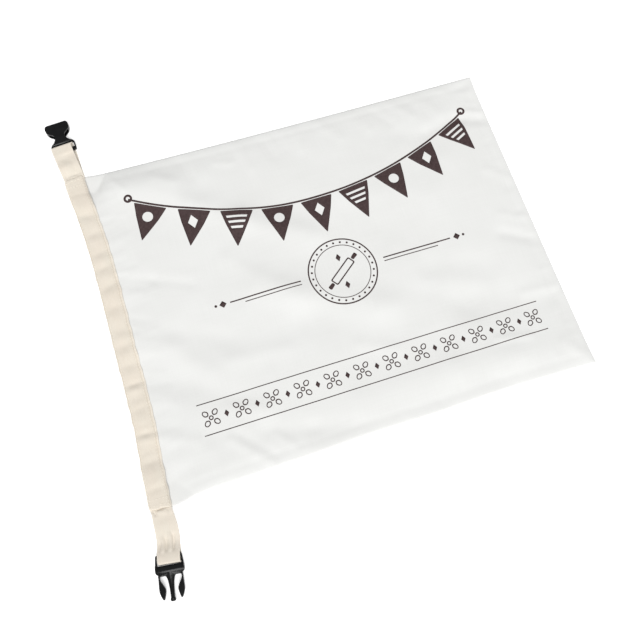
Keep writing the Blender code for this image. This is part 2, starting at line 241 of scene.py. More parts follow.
@dataclass(frozen=True)
class WebbingFinish:
    """Cream cotton tape with ribs across it, a painted highlight along both edges and painted shade in the
    valleys of the sewn rows.
    """

    name: str = "cream_cotton_tape"
    width: float = 20 * MM
    edge_highlight_width: float = 1.5 * MM
    painted_shade_rows: tuple = ()
    painted_shade_width: float = 0.5 * MM
    low: tuple = (0.648, 0.580, 0.483)
    high: tuple = (0.776, 0.721, 0.638)
    rib: float = 1.05 * MM
    column: float = 0.9 * MM
    depth: float = 0.16 * MM
    roughness: float = 0.9

    def build(self) -> bpy.types.Material:
        """Return the material."""
        n = Nodes(self.name)
        uv = n.add("ShaderNodeUVMap", uv_map="weave").outputs[0]
        split = n.add("ShaderNodeSeparateXYZ", {0: uv})
        along = n.math("MULTIPLY", split.outputs[0], math.pi / self.rib)
        across = n.math("MULTIPLY", split.outputs[1], math.pi / self.column)
        ribs = n.math("ABSOLUTE", n.math("SINE", n.math("ADD", along, n.math(
            "MULTIPLY", n.math("SINE", across), 0.9))))
        columns = n.math("ABSOLUTE", n.math("COSINE", across))
        weave = n.math("MULTIPLY", n.math("POWER", ribs, 0.6), n.math("ADD", n.math(
            "MULTIPLY", columns, 0.55), 0.45))
        fibre = n.texture(n.stretched(uv, (260.0, 1500.0, 1.0)), 1.0, 3.0)
        cloud = n.texture(uv, 30.0, 3.0)
        mixed = n.math("ADD", n.math("MULTIPLY", weave, 0.45), n.math("ADD", n.math(
            "MULTIPLY", fibre, 0.3), n.math("MULTIPLY", cloud, 0.3)))
        edges = n.math("MINIMUM", split.outputs[1], n.math("SUBTRACT", self.width, split.outputs[1]))
        # Painted highlight: both edges of the tape are lightened where the raised edge catches the light.
        painted_edge_highlight = n.add("ShaderNodeMapRange", {
            "Value": edges, "From Min": self.edge_highlight_width * 0.7, "From Max": self.edge_highlight_width,
            "To Min": 0.10, "To Max": 0.0})
        shade = n.math("ADD", mixed, painted_edge_highlight.outputs[0])
        drift = n.math("MULTIPLY", n.math("SUBTRACT", n.texture(n.stretched(
            uv, (110.0, 3.0, 1.0)), 1.0), 0.5), 1.2 * MM)
        # Painted shade: each sewn row is darkened where the stitching pulls the tape into a shaded valley.
        for line in self.painted_shade_rows:
            away = n.math("ABSOLUTE", n.math("SUBTRACT", n.math("ADD", split.outputs[1], drift), line))
            painted_shade = n.add("ShaderNodeMapRange", {
                "Value": away, "From Min": 0.0, "From Max": self.painted_shade_width,
                "To Min": 0.58, "To Max": 0.0})
            shade = n.math("SUBTRACT", shade, painted_shade.outputs[0])
        base = n.tint(shade, self.low, self.high, 0.28, 0.78)
        blush = n.tint(n.texture(n.stretched(uv, (26.0, 60.0, 1.0)), 1.0, 2.0), (0.99, 1.0, 1.0),
                       (1.0, 0.985, 0.98))
        n.connect("Base Color", n.add("ShaderNodeMix", {
            0: 1.0, 6: base, 7: blush}, data_type="RGBA", blend_type="MULTIPLY").outputs[2])
        soft = n.bump(fibre, self.depth * 0.4, 0.6)
        n.connect("Normal", n.bump(weave, self.depth, 0.7, soft))
        n.set(Roughness=self.roughness, Sheen_Weight=0.2, Sheen_Roughness=0.5, Specular_IOR_Level=0.25)
        return n.material


@dataclass(frozen=True)
class MouldedFinish:
    """Black moulded plastic with a fine grain and a soft sheen."""

    name: str = "black_moulded_plastic"
    low: tuple = (0.0025, 0.0027, 0.003)
    high: tuple = (0.005, 0.0055, 0.006)
    smoothest: float = 0.16
    roughest: float = 0.27

    def build(self) -> bpy.types.Material:
        """Return the material."""
        n = Nodes(self.name)
        place = n.add("ShaderNodeTexCoord").outputs["Object"]
        cloud = n.texture(place, 220.0, 3.0)
        grain = n.texture(place, 4200.0, 2.0, 0.6)
        n.connect("Base Color", n.tint(cloud, self.low, self.high))
        span = n.add("ShaderNodeMapRange", {
            "Value": cloud, "From Min": 0.3, "From Max": 0.7,
            "To Min": self.smoothest, "To Max": self.roughest})
        n.connect("Roughness", span.outputs[0])
        n.connect("Normal", n.bump(grain, 0.02 * MM, 0.35))
        n.set(Specular_IOR_Level=0.2)
        return n.material


@dataclass(frozen=True)
class InkFinish:
    """Dark brown print, a little uneven in tone, with the weave's relief."""

    name: str = "brown_print"
    low: tuple = (0.040, 0.022, 0.022)
    high: tuple = (0.066, 0.040, 0.040)
    pitch: float = 0.55 * MM

    def build(self) -> bpy.types.Material:
        """Return the material."""
        n = Nodes(self.name)
        place = n.add("ShaderNodeTexCoord").outputs["Object"]
        split = n.add("ShaderNodeSeparateXYZ", {0: place})
        turn = math.pi / self.pitch
        weave = n.math("ABSOLUTE", n.math("MULTIPLY", n.math("SINE", n.math(
            "MULTIPLY", split.outputs[0], turn)), n.math("SINE", n.math(
                "MULTIPLY", split.outputs[1], turn))))
        worn = n.texture(place, 420.0, 4.0, 0.65)
        n.connect("Base Color", n.tint(worn, self.low, self.high, 0.35, 0.72))
        n.connect("Normal", n.bump(weave, 0.04 * MM, 0.5))
        n.set(Roughness=0.62, Specular_IOR_Level=0.35)
        return n.material


@dataclass(frozen=True)
class ThreadFinish:
    """Twisted cotton sewing thread."""

    name: str
    low: tuple
    high: tuple

    def build(self) -> bpy.types.Material:
        """Return the material."""
        n = Nodes(self.name)
        place = n.add("ShaderNodeTexCoord").outputs["Object"]
        twist = n.add("ShaderNodeTexWave", {
            "Vector": place, "Scale": 900.0, "Distortion": 1.5}, bands_direction="DIAGONAL")
        n.connect("Base Color", n.tint(twist.outputs["Fac"], self.low, self.high, 0.1, 0.9))
        n.connect("Normal", n.bump(twist.outputs["Fac"], 0.05 * MM, 0.6))
        n.set(Roughness=0.7, Sheen_Weight=0.2)
        return n.material


@dataclass(frozen=True)
class FloorFinish:
    """Plain white paper on a light table."""

    name: str = "white_ground"
    colour: tuple = (0.96, 0.96, 0.96)
    glow: float = 0.35

    def build(self) -> bpy.types.Material:
        """Return the material."""
        n = Nodes(self.name)
        place = n.add("ShaderNodeTexCoord").outputs["Object"]
        fibre = n.texture(place, 60.0, 3.0)
        low = tuple(part * 0.995 for part in self.colour)
        n.connect("Base Color", n.tint(fibre, low, self.colour))
        n.set(Roughness=0.95, Emission_Strength=self.glow, Emission_Color=(1.0, 1.0, 1.0, 1.0),
              Specular_IOR_Level=0.1)
        return n.material


# Meshes


def add_piece(name: str, mesh: bpy.types.Mesh, material: bpy.types.Material) -> bpy.types.Object:
    """Put a mesh in the scene as an object at the origin.

    Args:
        name: Name of the object.
        mesh: Its mesh, in the frame's coordinates.
        material: Its material.

    Returns:
        The object.
    """
    mesh.name = name
    mesh.materials.clear()
    mesh.materials.append(material)
    piece = bpy.data.objects.new(name, mesh)
    bpy.context.scene.collection.objects.link(piece)
    return piece


def finish_piece(piece: bpy.types.Object, slot: Slot, *replaced: str) -> bpy.types.Object:
    """Tie a finished piece to the frame.

    Args:
        piece: The piece, in place.
        slot: The record's material slot; not used.
        replaced: Solids that it stands for.

    Returns:
        The piece.
    """
    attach(piece, BODY)
    if replaced:
        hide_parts(*replaced)
    log.info("%s has %d faces", piece.name, len(piece.data.polygons))
    return piece


def baked(piece: bpy.types.Object) -> bpy.types.Object:
    """Turn an object with modifiers into a plain mesh under the same name.

    Args:
        piece: The object with its modifiers.

    Returns:
        A new object at the origin without modifiers.
    """
    graph = bpy.context.evaluated_depsgraph_get()
    graph.update()
    mesh = bpy.data.meshes.new_from_object(piece.evaluated_get(graph), depsgraph=graph)
    mesh.transform(piece.matrix_world)
    name = piece.name
    bpy.data.objects.remove(piece, do_unlink=True)
    plain = bpy.data.objects.new(name, mesh)
    mesh.name = name
    bpy.context.scene.collection.objects.link(plain)
    return plain


@dataclass
class Sheet:
    """A sheet of cloth round a grid of middle points, thinning to rounded edges.

    The grid's first axis runs along the cloth and its second axis across it.
    """

    name: str
    middle: np.ndarray
    thick: float
    round_along: bool = True
    round_across: bool = True
    edge: float = 0.45 * MM

    def lengths(self, axis: int) -> np.ndarray:
        """Return the distance of each grid point from the grid's edge, along one axis."""
        steps = np.linalg.norm(np.diff(self.middle, axis=axis), axis=2)
        start = np.zeros_like(np.take(steps, [0], axis=axis))
        return np.concatenate([start, np.cumsum(steps, axis=axis)], axis=axis)

    def fullness(self) -> np.ndarray:
        """Return each point's share of the full thickness, round towards the edges."""
        share = np.ones(self.middle.shape[:2])
        for axis, rounded in ((0, self.round_along), (1, self.round_across)):
            if rounded:
                run = self.lengths(axis)
                far = np.take(run, [-1], axis=axis)
                near = np.clip(np.minimum(run, far - run) / self.edge, 0.0, 1.0)
                share *= np.sqrt(1.0 - (1.0 - near) ** 2)
        return np.maximum(share, 0.06)

    def normals(self) -> np.ndarray:
        """Return the sheet's unit normals at its grid points."""
        along = np.gradient(self.middle, axis=0)
        across = np.gradient(self.middle, axis=1)
        found = np.cross(along, across)
        return found / np.maximum(np.linalg.norm(found, axis=2, keepdims=True), 1e-12)

    def mesh(self) -> bpy.types.Mesh:
        """Return the closed mesh of the sheet, with a UV map in metres named weave."""
        rows, columns = self.middle.shape[:2]
        offset = self.normals() * (self.thick / 2 * self.fullness())[..., None]
        verts = np.concatenate([(self.middle + offset).reshape(-1, 3),
                                (self.middle - offset).reshape(-1, 3)])
        index = np.arange(rows * columns).reshape(rows, columns)
        under = index + rows * columns
        quads = np.stack([index[:-1, :-1], index[1:, :-1], index[1:, 1:], index[:-1, 1:]], axis=-1)
        top = quads.reshape(-1, 4)
        bottom = top[:, ::-1] + rows * columns
        rim = []
        for a, b in ((index[0, :], under[0, :]), (under[-1, :], index[-1, :]),
                     (under[:, 0], index[:, 0]), (index[:, -1], under[:, -1])):
            rim.append(np.stack([a[:-1], a[1:], b[1:], b[:-1]], axis=-1))
        faces = np.concatenate([top, bottom, *rim])
        mesh = bpy.data.meshes.new(self.name)
        mesh.from_pydata(verts.tolist(), [], faces.tolist())
        layer = mesh.uv_layers.new(name="weave")
        uv = np.stack([self.lengths(0), self.lengths(1)], axis=-1).reshape(-1, 2)
        loops = np.zeros(len(mesh.loops), dtype=np.int32)
        mesh.loops.foreach_get("vertex_index", loops)
        layer.data.foreach_set("uv", np.concatenate([uv, uv])[loops].astype(np.float32).ravel())
        mesh.update()
        mesh.shade_smooth()
        return mesh


# The bag's plan and surface


@dataclass(frozen=True)
class Fold:
    """A soft ridge, or a trough where the height is negative, in millimetres of the plan."""

    x0: float
    y0: float
    x1: float
    y1: float
    reach: float
    height: float

    def at(self, x: np.ndarray, y: np.ndarray) -> np.ndarray:
        """Return the fold's height in metres at points of the plan."""
        run_x, run_y = self.x1 - self.x0, self.y1 - self.y0
        away_x, away_y = x / MM - self.x0, y / MM - self.y0
        share = np.clip((away_x * run_x + away_y * run_y) / (run_x ** 2 + run_y ** 2), 0.0, 1.0)
        square = (away_x - run_x * share) ** 2 + (away_y - run_y * share) ** 2
        return self.height * MM * np.exp(-square / self.reach ** 2)


# The main folds, a little more closely drawn than in the solids
MAIN_FOLDS = [Fold(*row) for row in (
    (26, 318, 62, 307, 24, 2.3), (62, 307, 96, 290, 21, 1.9), (96, 290, 120, 268, 14, 1.2),
    (112, 270, 155, 241, 13, 1.4), (155, 241, 215, 205, 13, 1.9), (84, 306, 130, 300, 13, 0.9),
    (26, 117, 60, 99, 16, -1.5), (60, 99, 98, 72, 15, -1.1), (50, 132, 200, 122, 20, -0.9),
    (24, 10, 70, 10, 22, 0.9), (70, 10, 112, 8, 20, 0.9), (112, 8, 200, 8, 16, 0.5),
    (30, 148, 58, 135, 11, 0.8), (58, 135, 82, 104, 11, 0.8), (150, 168, 185, 150, 16, 1.6),
    (185, 150, 262, 112, 17, 1.9), (262, 112, 305, 98, 16, 1.3), (210, 34, 300, 36, 19, 1.6),
    (300, 36, 360, 29, 19, 1.9), (360, 29, 430, 17, 19, 1.8), (270, 102, 340, 94, 18, -1.5),
    (340, 94, 430, 72, 18, -1.5), (318, 140, 365, 124, 15, -1.1), (335, 286, 372, 266, 12, -1.1),
    (250, 240, 340, 215, 24, 1.0), (420, 62, 425, 5, 9, 1.2))]

# Smaller creases that only the looks show
CREASES = [Fold(*row) for row in (
    (46, 317, 54, 304, 4, 0.7), (86, 309, 102, 298, 6, 0.8), (112, 322, 120, 300, 6, -0.5),
    (148, 308, 162, 303, 4, 0.5), (176, 320, 180, 292, 6, 0.6), (198, 320, 208, 298, 6, -0.5),
    (214, 322, 218, 302, 5, -0.45), (236, 322, 234, 298, 6, 0.5), (264, 322, 277, 298, 6, 0.6),
    (298, 322, 308, 300, 6, 0.55), (318, 320, 332, 300, 5, -0.6), (342, 322, 356, 302, 5, 0.6),
    (372, 318, 384, 298, 7, 0.6), (28, 214, 58, 205, 5, -0.75), (58, 205, 90, 191, 5, -0.55),
    (34, 205, 62, 199, 4, -0.2), (28, 58, 56, 45, 6, 0.7), (36, 38, 64, 34, 8, 0.5),
    (86, 37, 112, 10, 5, 0.8), (94, 40, 120, 12, 5, -0.6), (116, 35, 160, 25, 8, -0.8),
    (160, 25, 206, 15, 8, -0.8), (126, 30, 142, 10, 4, 0.6), (92, 66, 125, 54, 8, 0.9),
    (105, 108, 158, 104, 8, 0.7), (226, 86, 255, 72, 8, 0.9), (352, 52, 382, 46, 4, 0.7),
    (395, 88, 427, 86, 5, 0.7), (398, 152, 429, 136, 6, -1.1), (408, 222, 428, 208, 5, 0.5),
    (364, 279, 400, 285, 7, -1.2), (400, 285, 430, 277, 6, -1.2), (414, 291, 430, 286, 3, 0.6),
    (404, 172, 428, 163, 4, 0.4), (60, 150, 110, 128, 9, -0.5), (130, 205, 170, 165, 9, 0.6),
    (300, 130, 352, 112, 10, 0.5), (412, 30, 430, 12, 5, 0.5), (410, 318, 428, 326, 5, -0.5),
    (396, 322, 426, 312, 5, 0.4))]


class Edge:
    """One edge of the bag: how far it lies past the straight rectangle, place by place."""

    def __init__(self, *rows: tuple[float, float]) -> None:
        """Keep the rows of the edge.

        Args:
            rows: Place along the edge and distance out, both in millimetres.
        """
        self.along = np.array([row[0] for row in rows], float)
        self.out = np.array([row[1] for row in rows], float)

    def at(self, along: np.ndarray) -> np.ndarray:
        """Return the distance out in metres, on a smooth curve through the rows."""
        place = np.asarray(along, float) / MM
        last = len(self.along) - 1
        i = np.clip(np.searchsorted(self.along, place, side="right") - 1, 0, last - 1)
        before, after = np.maximum(i - 1, 0), np.minimum(i + 2, last)
        span = self.along[i + 1] - self.along[i]
        share = (place - self.along[i]) / span
        slope_a = (self.out[i + 1] - self.out[before]) / np.maximum(
            self.along[i + 1] - self.along[before], 1) * span
        slope_b = (self.out[after] - self.out[i]) / np.maximum(
            self.along[after] - self.along[i], 1) * span
        square, cube = share ** 2, share ** 3
        return MM * ((2 * cube - 3 * square + 1) * self.out[i] + (cube - 2 * square + share) * slope_a
                     + (3 * square - 2 * cube) * self.out[i + 1] + (cube - square) * slope_b)


@dataclass
class Plan:
    """The bag's outline and the lie of its front cloth."""

    length: float = 432 * MM
    width: float = 330 * MM
    puff: float = 5.4 * MM
    mouth_puff: float = 4.8 * MM
    seam_rise: float = 30 * MM
    low_rise: float = 110 * MM
    mouth_rise: float = 110 * MM
    fold_fade: float = 12 * MM
    flat_corner: float = 20 * MM
    flat_start: float = 25 * MM
    flat_end: float = 45 * MM
    low_corner: tuple = (0.4 * MM, -3.208 * MM)
    roll: float = 2.2 * MM
    seam_level: float = 1.05 * MM
    lie_level: float = 2.05 * MM
    seed: int = 7
    origin: Vector = field(default_factory=Vector)
    mouth: Edge = field(default_factory=lambda: Edge(
        (-8, 0.3), (0, 0.4), (20, 1.4), (49, 3.5), (77, 5.5), (138, 6.4), (219, 7.2),
        (254, 6.7), (290, 4.2), (308, 2.3), (330, 0.5), (340, 0.4)))
    base: Edge = field(default_factory=lambda: Edge(
        (-8, 3.4), (0, 2.9), (25, 1.8), (165, 1.0), (305, 0.8), (330, 1.8), (340, 2.2)))
    low: Edge = field(default_factory=lambda: Edge(
        (-8, -3.2), (22, -3.0), (31, -1.8), (42, 0.6), (64, 1.7), (98, 2.0), (155, 3.2),
        (213, 4.5), (272, 4.0), (333, 5.2), (394, 4.0), (432, 2.4), (440, 2.2)))
    high: Edge = field(default_factory=lambda: Edge(
        (-8, 1.8), (20, 1.6), (32, 0.2), (60, -0.6), (155, -1.4), (250, -1.5),
        (350, -1.0), (432, -0.2), (440, 0.0)))

    def __post_init__(self) -> None:
        """Find the plan's zero from the front panel, and scatter the small puckers."""
        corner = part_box("front_panel")[0]
        self.origin = Vector((corner.x - self.low_corner[0], corner.y - self.low_corner[1], 0.0))
        self.puckers = self.scatter_puckers()

    def scatter_puckers(self) -> list[Fold]:
        """Return short puckers along the tape and the seams, where the sewing gathers the cloth."""
        pick = np.random.default_rng(self.seed)
        found = []
        for y in np.arange(16, 322, 9.5):
            y = y + pick.uniform(-4, 4)
            run, lean = pick.uniform(7, 24), pick.uniform(-0.5, 0.35)
            height = pick.uniform(0.12, 0.34) * pick.choice((-1, 1))
            found.append(Fold(26, y, 26 + run, y + run * lean, pick.uniform(2.2, 4.5), height))
        for x in np.arange(44, 424, 12.0):
            for edge, sign in ((5, 1), (327, -1)):
                x_at = x + pick.uniform(-5, 5)
                run, lean = pick.uniform(6, 17), pick.uniform(-0.5, 0.5)
                height = pick.uniform(0.10, 0.30) * pick.choice((-1, 1))
                found.append(Fold(x_at, edge + 3 * sign, x_at + run * lean, edge + run * sign,
                                  pick.uniform(2.5, 5.0), height))
        for y in np.arange(20, 318, 14.0):
            y = y + pick.uniform(-6, 6)
            run, lean = pick.uniform(5, 14), pick.uniform(-0.4, 0.4)
            height = pick.uniform(0.10, 0.26) * pick.choice((-1, 1))
            found.append(Fold(428, y, 428 - run, y + run * lean, pick.uniform(2.5, 4.5), height))
        return found

    def seam_distance(self, x: np.ndarray, y: np.ndarray) -> dict[Seam, np.ndarray]:
        """Return how far points lie inside each sewn edge."""
        return {Seam.LOW: y - self.low.at(x),
                Seam.HIGH: self.width + self.high.at(x) - y,
                Seam.BASE: self.length + self.base.at(y) - x}

    def inside(self, x: np.ndarray, y: np.ndarray) -> np.ndarray:
        """Return how far points lie inside the nearest sewn edge."""
        found = self.seam_distance(x, y)
        return np.maximum(np.minimum(np.minimum(found[Seam.LOW], found[Seam.HIGH]),
                                     found[Seam.BASE]), 0.0)

    def rise(self, x: np.ndarray, y: np.ndarray) -> np.ndarray:
        """Return how far the front cloth stands off its lowest lie."""
        flat = self.flat_corner * (1.0 - smooth((x - self.flat_start) / (self.flat_end - self.flat_start)))
        seams = self.seam_distance(x, y)
        inward = [np.maximum(seams[Seam.LOW] - flat, 0.0), np.maximum(seams[Seam.HIGH] - flat, 0.0),
                  np.maximum(seams[Seam.BASE], 0.0)]
        full = blend_between(self.mouth_puff, self.puff, smooth(x / self.mouth_rise))
        for distance, reach in zip(inward, (self.low_rise, self.seam_rise, self.seam_rise)):
            full = full * (1.0 - np.exp(-distance / reach))
        fade = 1.0 - np.exp(-np.minimum(np.minimum(*inward[:2]), inward[2]) / self.fold_fade)
        return np.maximum(full + fade * sum(fold.at(x, y) for fold in MAIN_FOLDS), 0.0)

    def unevenness(self, x: np.ndarray, y: np.ndarray) -> np.ndarray:
        """Return the creases, puckers and small waves that lie over the main folds."""
        inside = self.inside(x, y)
        fade = 1.0 - np.exp(-inside / (4 * MM))
        small = sum(fold.at(x, y) for fold in CREASES + self.puckers)
        wave = np.array([
            0.55 * noise.noise(Vector((a * 24.0, b * 24.0, 0.3)))
            + 0.22 * noise.noise(Vector((a * 62.0, b * 62.0, 1.7)))
            for a, b in zip(x.ravel(), y.ravel())]).reshape(x.shape)
        away = 1.0 - np.exp(-inside / (22 * MM))
        return fade * small + away * wave * MM

    def front(self, x: np.ndarray, y: np.ndarray) -> np.ndarray:
        """Return the height of the middle of the front cloth at points of the plan."""
        inside = self.inside(x, y)
        rolled = np.sqrt(1.0 - (1.0 - np.clip(inside / self.roll, 0.0, 1.0)) ** 2)
        allowance = 0.20 * MM * bump_at(inside, 4 * MM, 4 * MM) - 0.22 * MM * bump_at(
            inside, 10.5 * MM, 2.5 * MM)
        over_tape = smooth((x - 26 * MM) / (20 * MM))
        level = blend_between(self.seam_level, self.lie_level, rolled)
        return level + self.rise(x, y) + allowance * over_tape + self.unevenness(x, y) * smooth(
            (x - 12 * MM) / (16 * MM))

    def world(self, x: np.ndarray, y: np.ndarray, z: np.ndarray) -> np.ndarray:
        """Return points of the plan in the frame's coordinates."""
        return np.stack([x + self.origin.x, y + self.origin.y, z + 0.0 * x], axis=-1)


def graded(length: float, steps: int, fine: tuple[float, ...]) -> np.ndarray:
    """Return places from 0 to a length, closer together at both ends.

    Args:
        length: The whole length.
        steps: Number of even steps between the fine ends.
        fine: Places of the fine steps, counted from an end.

    Returns:
        The places in rising order.
    """
    ends = np.array(fine)
    even = np.linspace(ends[-1], length - ends[-1], steps + 1)
    return np.concatenate([ends[:-1], even, (length - ends[:-1])[::-1]])


@dataclass
class Bag:
    """The two cloth panels."""

    plan: Plan
    finish: ClothFinish = field(default_factory=ClothFinish)
    thick: float = 0.7 * MM
    hem: float = 18.3 * MM
    hem_level: float = 0.22 * MM
    fine_edge: tuple = (0.0, 0.25 * MM, 0.7 * MM, 1.3 * MM, 2.1 * MM, 3.2 * MM, 4.6 * MM)
    row_steps: int = 146
    mouth_step: float = 1.5 * MM
    mouth_zone: float = 66 * MM
    body_steps: int = 150

    def columns(self) -> np.ndarray:
        """Return distances from the mouth to the base, finer near the tape and the base."""
        fine = np.array(self.fine_edge)
        near = np.arange(fine[-1], self.mouth_zone, self.mouth_step)
        far = np.linspace(self.mouth_zone, self.plan.length - fine[-1], self.body_steps)
        return np.concatenate([fine[:-1], near, far, (self.plan.length - fine[:-1])[::-1]])

    def grid(self) -> tuple[np.ndarray, np.ndarray]:
        """Return the plan coordinates of the panels' grid."""
        plan = self.plan
        rows = graded(plan.width, self.row_steps, self.fine_edge) / plan.width
        columns = self.columns() / plan.length
        across, along = np.meshgrid(rows, columns)
        mouth = plan.mouth.at(across * plan.width)
        x = blend_between(mouth, plan.length + plan.base.at(across * plan.width), along)
        y = blend_between(plan.low.at(x), plan.width + plan.high.at(x), across)
        return x, y

    def front_panel(self) -> bpy.types.Object:
        x, y = self.grid()
        middle = self.plan.world(x, y, self.plan.front(x, y))
        mesh = Sheet("front_cloth", middle, self.thick, edge=0.9 * MM).mesh()
        piece = add_piece("front_cloth", mesh, self.material)
        finish_piece(piece, Slot.CLOTH, "front_panel")
        return piece

    def back_panel(self) -> bpy.types.Object:
        x, y = self.grid()
        inside = self.plan.inside(x, y)
        rolled = np.sqrt(1.0 - (1.0 - np.clip(inside / self.plan.roll, 0.0, 1.0)) ** 2)
        height = blend_between(0.82 * MM, self.thick / 2, rolled)
        ripple = np.array([noise.noise(Vector((a * 30.0, b * 30.0, 4.0)))
                           for a, b in zip(x.ravel(), y.ravel())]).reshape(x.shape)
        away = 1.0 - np.exp(-inside / (30 * MM))
        height = height + 0.22 * MM * away * (ripple + 1.0)
        mesh = Sheet("back_cloth", self.plan.world(x, y, height), self.thick, edge=0.9 * MM).mesh()
        piece = add_piece("back_cloth", mesh, self.material)
        finish_piece(piece, Slot.CLOTH, "back_panel")
        return piece

    def hem_row(self) -> np.ndarray:
        """Return the points of the row of stitches that holds the back cloth's hem at the mouth."""
        y = np.arange(6 * MM, self.plan.width - 6 * MM, 1.0 * MM)
        x = self.plan.mouth.at(y) + self.hem
        return self.plan.world(x, y, np.full_like(y, self.hem_level))

    def build(self) -> None:
        """Build both panels."""
        self.material = self.finish.build()
        self.back_panel()
        self.front_panel()


# Sewing


@dataclass
class Stitching:
    """Rows of thread laid along paths by a node tree."""

    finish: ThreadFinish
    pitch: float = 3.0 * MM
    stitch: float = 2.35 * MM
    thread: float = 0.5 * MM
    seed: int = 3

    def tree(self, material: bpy.types.Material) -> tuple[bpy.types.NodeTree, dict[str, str]]:
        """Build the tree that sets stitches along the edges of a mesh.

        Args:
            material: The thread's material.

        Returns:
            The tree, and the identifier of each of its inputs by name.
        """
        tree = bpy.data.node_groups.new("stitch_row", "GeometryNodeTree")
        tree.interface.new_socket("Path", in_out="INPUT", socket_type="NodeSocketGeometry")
        sizes = {"Pitch": self.pitch, "Stitch": self.stitch, "Thread": self.thread}
        names = {}
        for name, value in sizes.items():
            socket = tree.interface.new_socket(name, in_out="INPUT", socket_type="NodeSocketFloat")
            socket.default_value = value
            names[name] = socket.identifier
        seed = tree.interface.new_socket("Seed", in_out="INPUT", socket_type="NodeSocketInt")
        names["Seed"] = seed.identifier
        tree.interface.new_socket("Thread", in_out="OUTPUT", socket_type="NodeSocketGeometry")

        def node(kind: str, **settings) -> bpy.types.Node:
            """Add a node to the tree."""
            made = tree.nodes.new(kind)
            for key, value in settings.items():
                setattr(made, key, value)
            return made

        join = tree.links.new
        given, result = node("NodeGroupInput"), node("NodeGroupOutput")
        curve = node("GeometryNodeMeshToCurve")
        points = node("GeometryNodeCurveToPoints", mode="LENGTH")
        bead = node("GeometryNodeMeshUVSphere")
        bead.inputs["Segments"].default_value = 8
        bead.inputs["Rings"].default_value = 6
        bead.inputs["Radius"].default_value = 0.5
        size = node("ShaderNodeCombineXYZ")
        shaped = node("GeometryNodeTransform")
        vary = node("FunctionNodeRandomValue", data_type="FLOAT_VECTOR")
        vary.inputs[0].default_value = (0.9, 0.9, 0.9)
        vary.inputs[1].default_value = (1.08, 1.08, 1.06)
        place = node("GeometryNodeInstanceOnPoints")
        sway = node("FunctionNodeRandomValue", data_type="FLOAT_VECTOR")
        sway.inputs[0].default_value = (-0.07, -0.07, 0.0)
        sway.inputs[1].default_value = (0.07, 0.07, 0.0)
        turn = node("GeometryNodeRotateInstances")
        real = node("GeometryNodeRealizeInstances")
        even = node("GeometryNodeSetShadeSmooth")
        dress = node("GeometryNodeSetMaterial")
        dress.inputs["Material"].default_value = material
        join(given.outputs["Path"], curve.inputs["Mesh"])
        join(curve.outputs[0], points.inputs["Curve"])
        join(given.outputs["Pitch"], points.inputs["Length"])
        join(given.outputs["Thread"], size.inputs["X"])
        join(given.outputs["Thread"], size.inputs["Y"])
        join(given.outputs["Stitch"], size.inputs["Z"])
        join(bead.outputs["Mesh"], shaped.inputs["Geometry"])
        join(size.outputs[0], shaped.inputs["Scale"])
        join(points.outputs["Points"], place.inputs["Points"])
        join(shaped.outputs[0], place.inputs["Instance"])
        join(points.outputs["Rotation"], place.inputs["Rotation"])
        join(vary.outputs[0], place.inputs["Scale"])
        join(given.outputs["Seed"], vary.inputs["Seed"])
        join(given.outputs["Seed"], sway.inputs["Seed"])
        join(place.outputs[0], turn.inputs["Instances"])
        join(sway.outputs[0], turn.inputs["Rotation"])
        join(turn.outputs[0], real.inputs["Geometry"])
        join(real.outputs[0], even.inputs["Geometry"])
        join(even.outputs[0], dress.inputs["Geometry"])
        join(dress.outputs[0], result.inputs[0])
        return tree, names

    def sew(self, name: str, paths: list[np.ndarray], slot: Slot) -> bpy.types.Object:
        """Sew along paths.

        Args:
            name: Name of the piece.
            paths: Points of each row of stitches, in the frame's coordinates.
            slot: The record's material slot nearest to the thread.

        Returns:
            All the stitches as one piece.
        """
        material = self.finish.build()
        tree, names = self.tree(material)
        verts, edges = [], []
        for path in paths:
            start = len(verts)
            verts += [tuple(point) for point in path]
            edges += [(start + i, start + i + 1) for i in range(len(path) - 1)]
        mesh = bpy.data.meshes.new(name)
        mesh.from_pydata(verts, edges, [])
        row = bpy.data.objects.new(name, mesh)
        bpy.context.scene.collection.objects.link(row)
        rig = row.modifiers.new("stitches", "NODES")
        rig.node_group = tree
        for key, value in (("Pitch", self.pitch), ("Stitch", self.stitch), ("Thread", self.thread)):
            rig[names[key]] = value
        rig[names["Seed"]] = self.seed
        piece = baked(row)
        if not piece.data.materials:
            piece.data.materials.append(material)
        return finish_piece(piece, slot)


# The webbing


@dataclass(frozen=True)
class Pucker:
    """A crosswise pucker of the tape, in millimetres: its place, slant, width and height."""

    place: float
    slant: float
    width: float
    height: float


TAPE_PUCKERS = [Pucker(*row) for row in (
    (306, 0.10, 4.5, -0.35), (296, 0.05, 5.0, 0.35), (288, -0.10, 4.0, -0.55), (279, 0.0, 5.0, 0.4),
    (267, 0.15, 4.0, -0.65), (259, 0.10, 4.5, 0.4), (246, 0.20, 3.8, -0.65), (238, 0.1, 4.0, 0.35),
    (230, 0.15, 3.5, -0.6), (221, 0.0, 5.0, 0.45), (211, 0.25, 4.0, -0.8), (201, 0.2, 4.5, 0.5),
    (189, 0.10, 4.0, -0.65), (178, 0.0, 5.0, 0.4), (166, -0.05, 4.5, -0.45), (158, 0.0, 4.0, 0.35),
    (150, 0.12, 3.6, -0.6), (141, 0.05, 4.0, 0.45), (131, 0.10, 3.6, -0.65), (122, 0.05, 4.0, 0.5),
    (113, 0.05, 2.6, -0.95), (107, 0.05, 3.0, 0.6), (99, 0.0, 4.0, -0.45), (89, 0.1, 3.6, -0.55),
    (79, 0.0, 5.0, 0.4), (66, -0.05, 2.6, -0.95), (60, -0.05, 3.0, 0.6), (50, 0.1, 4.0, -0.4),
    (40, 0.05, 3.6, -0.6), (31, 0.0, 4.5, 0.35), (16, 0.08, 3.4, -0.5))]


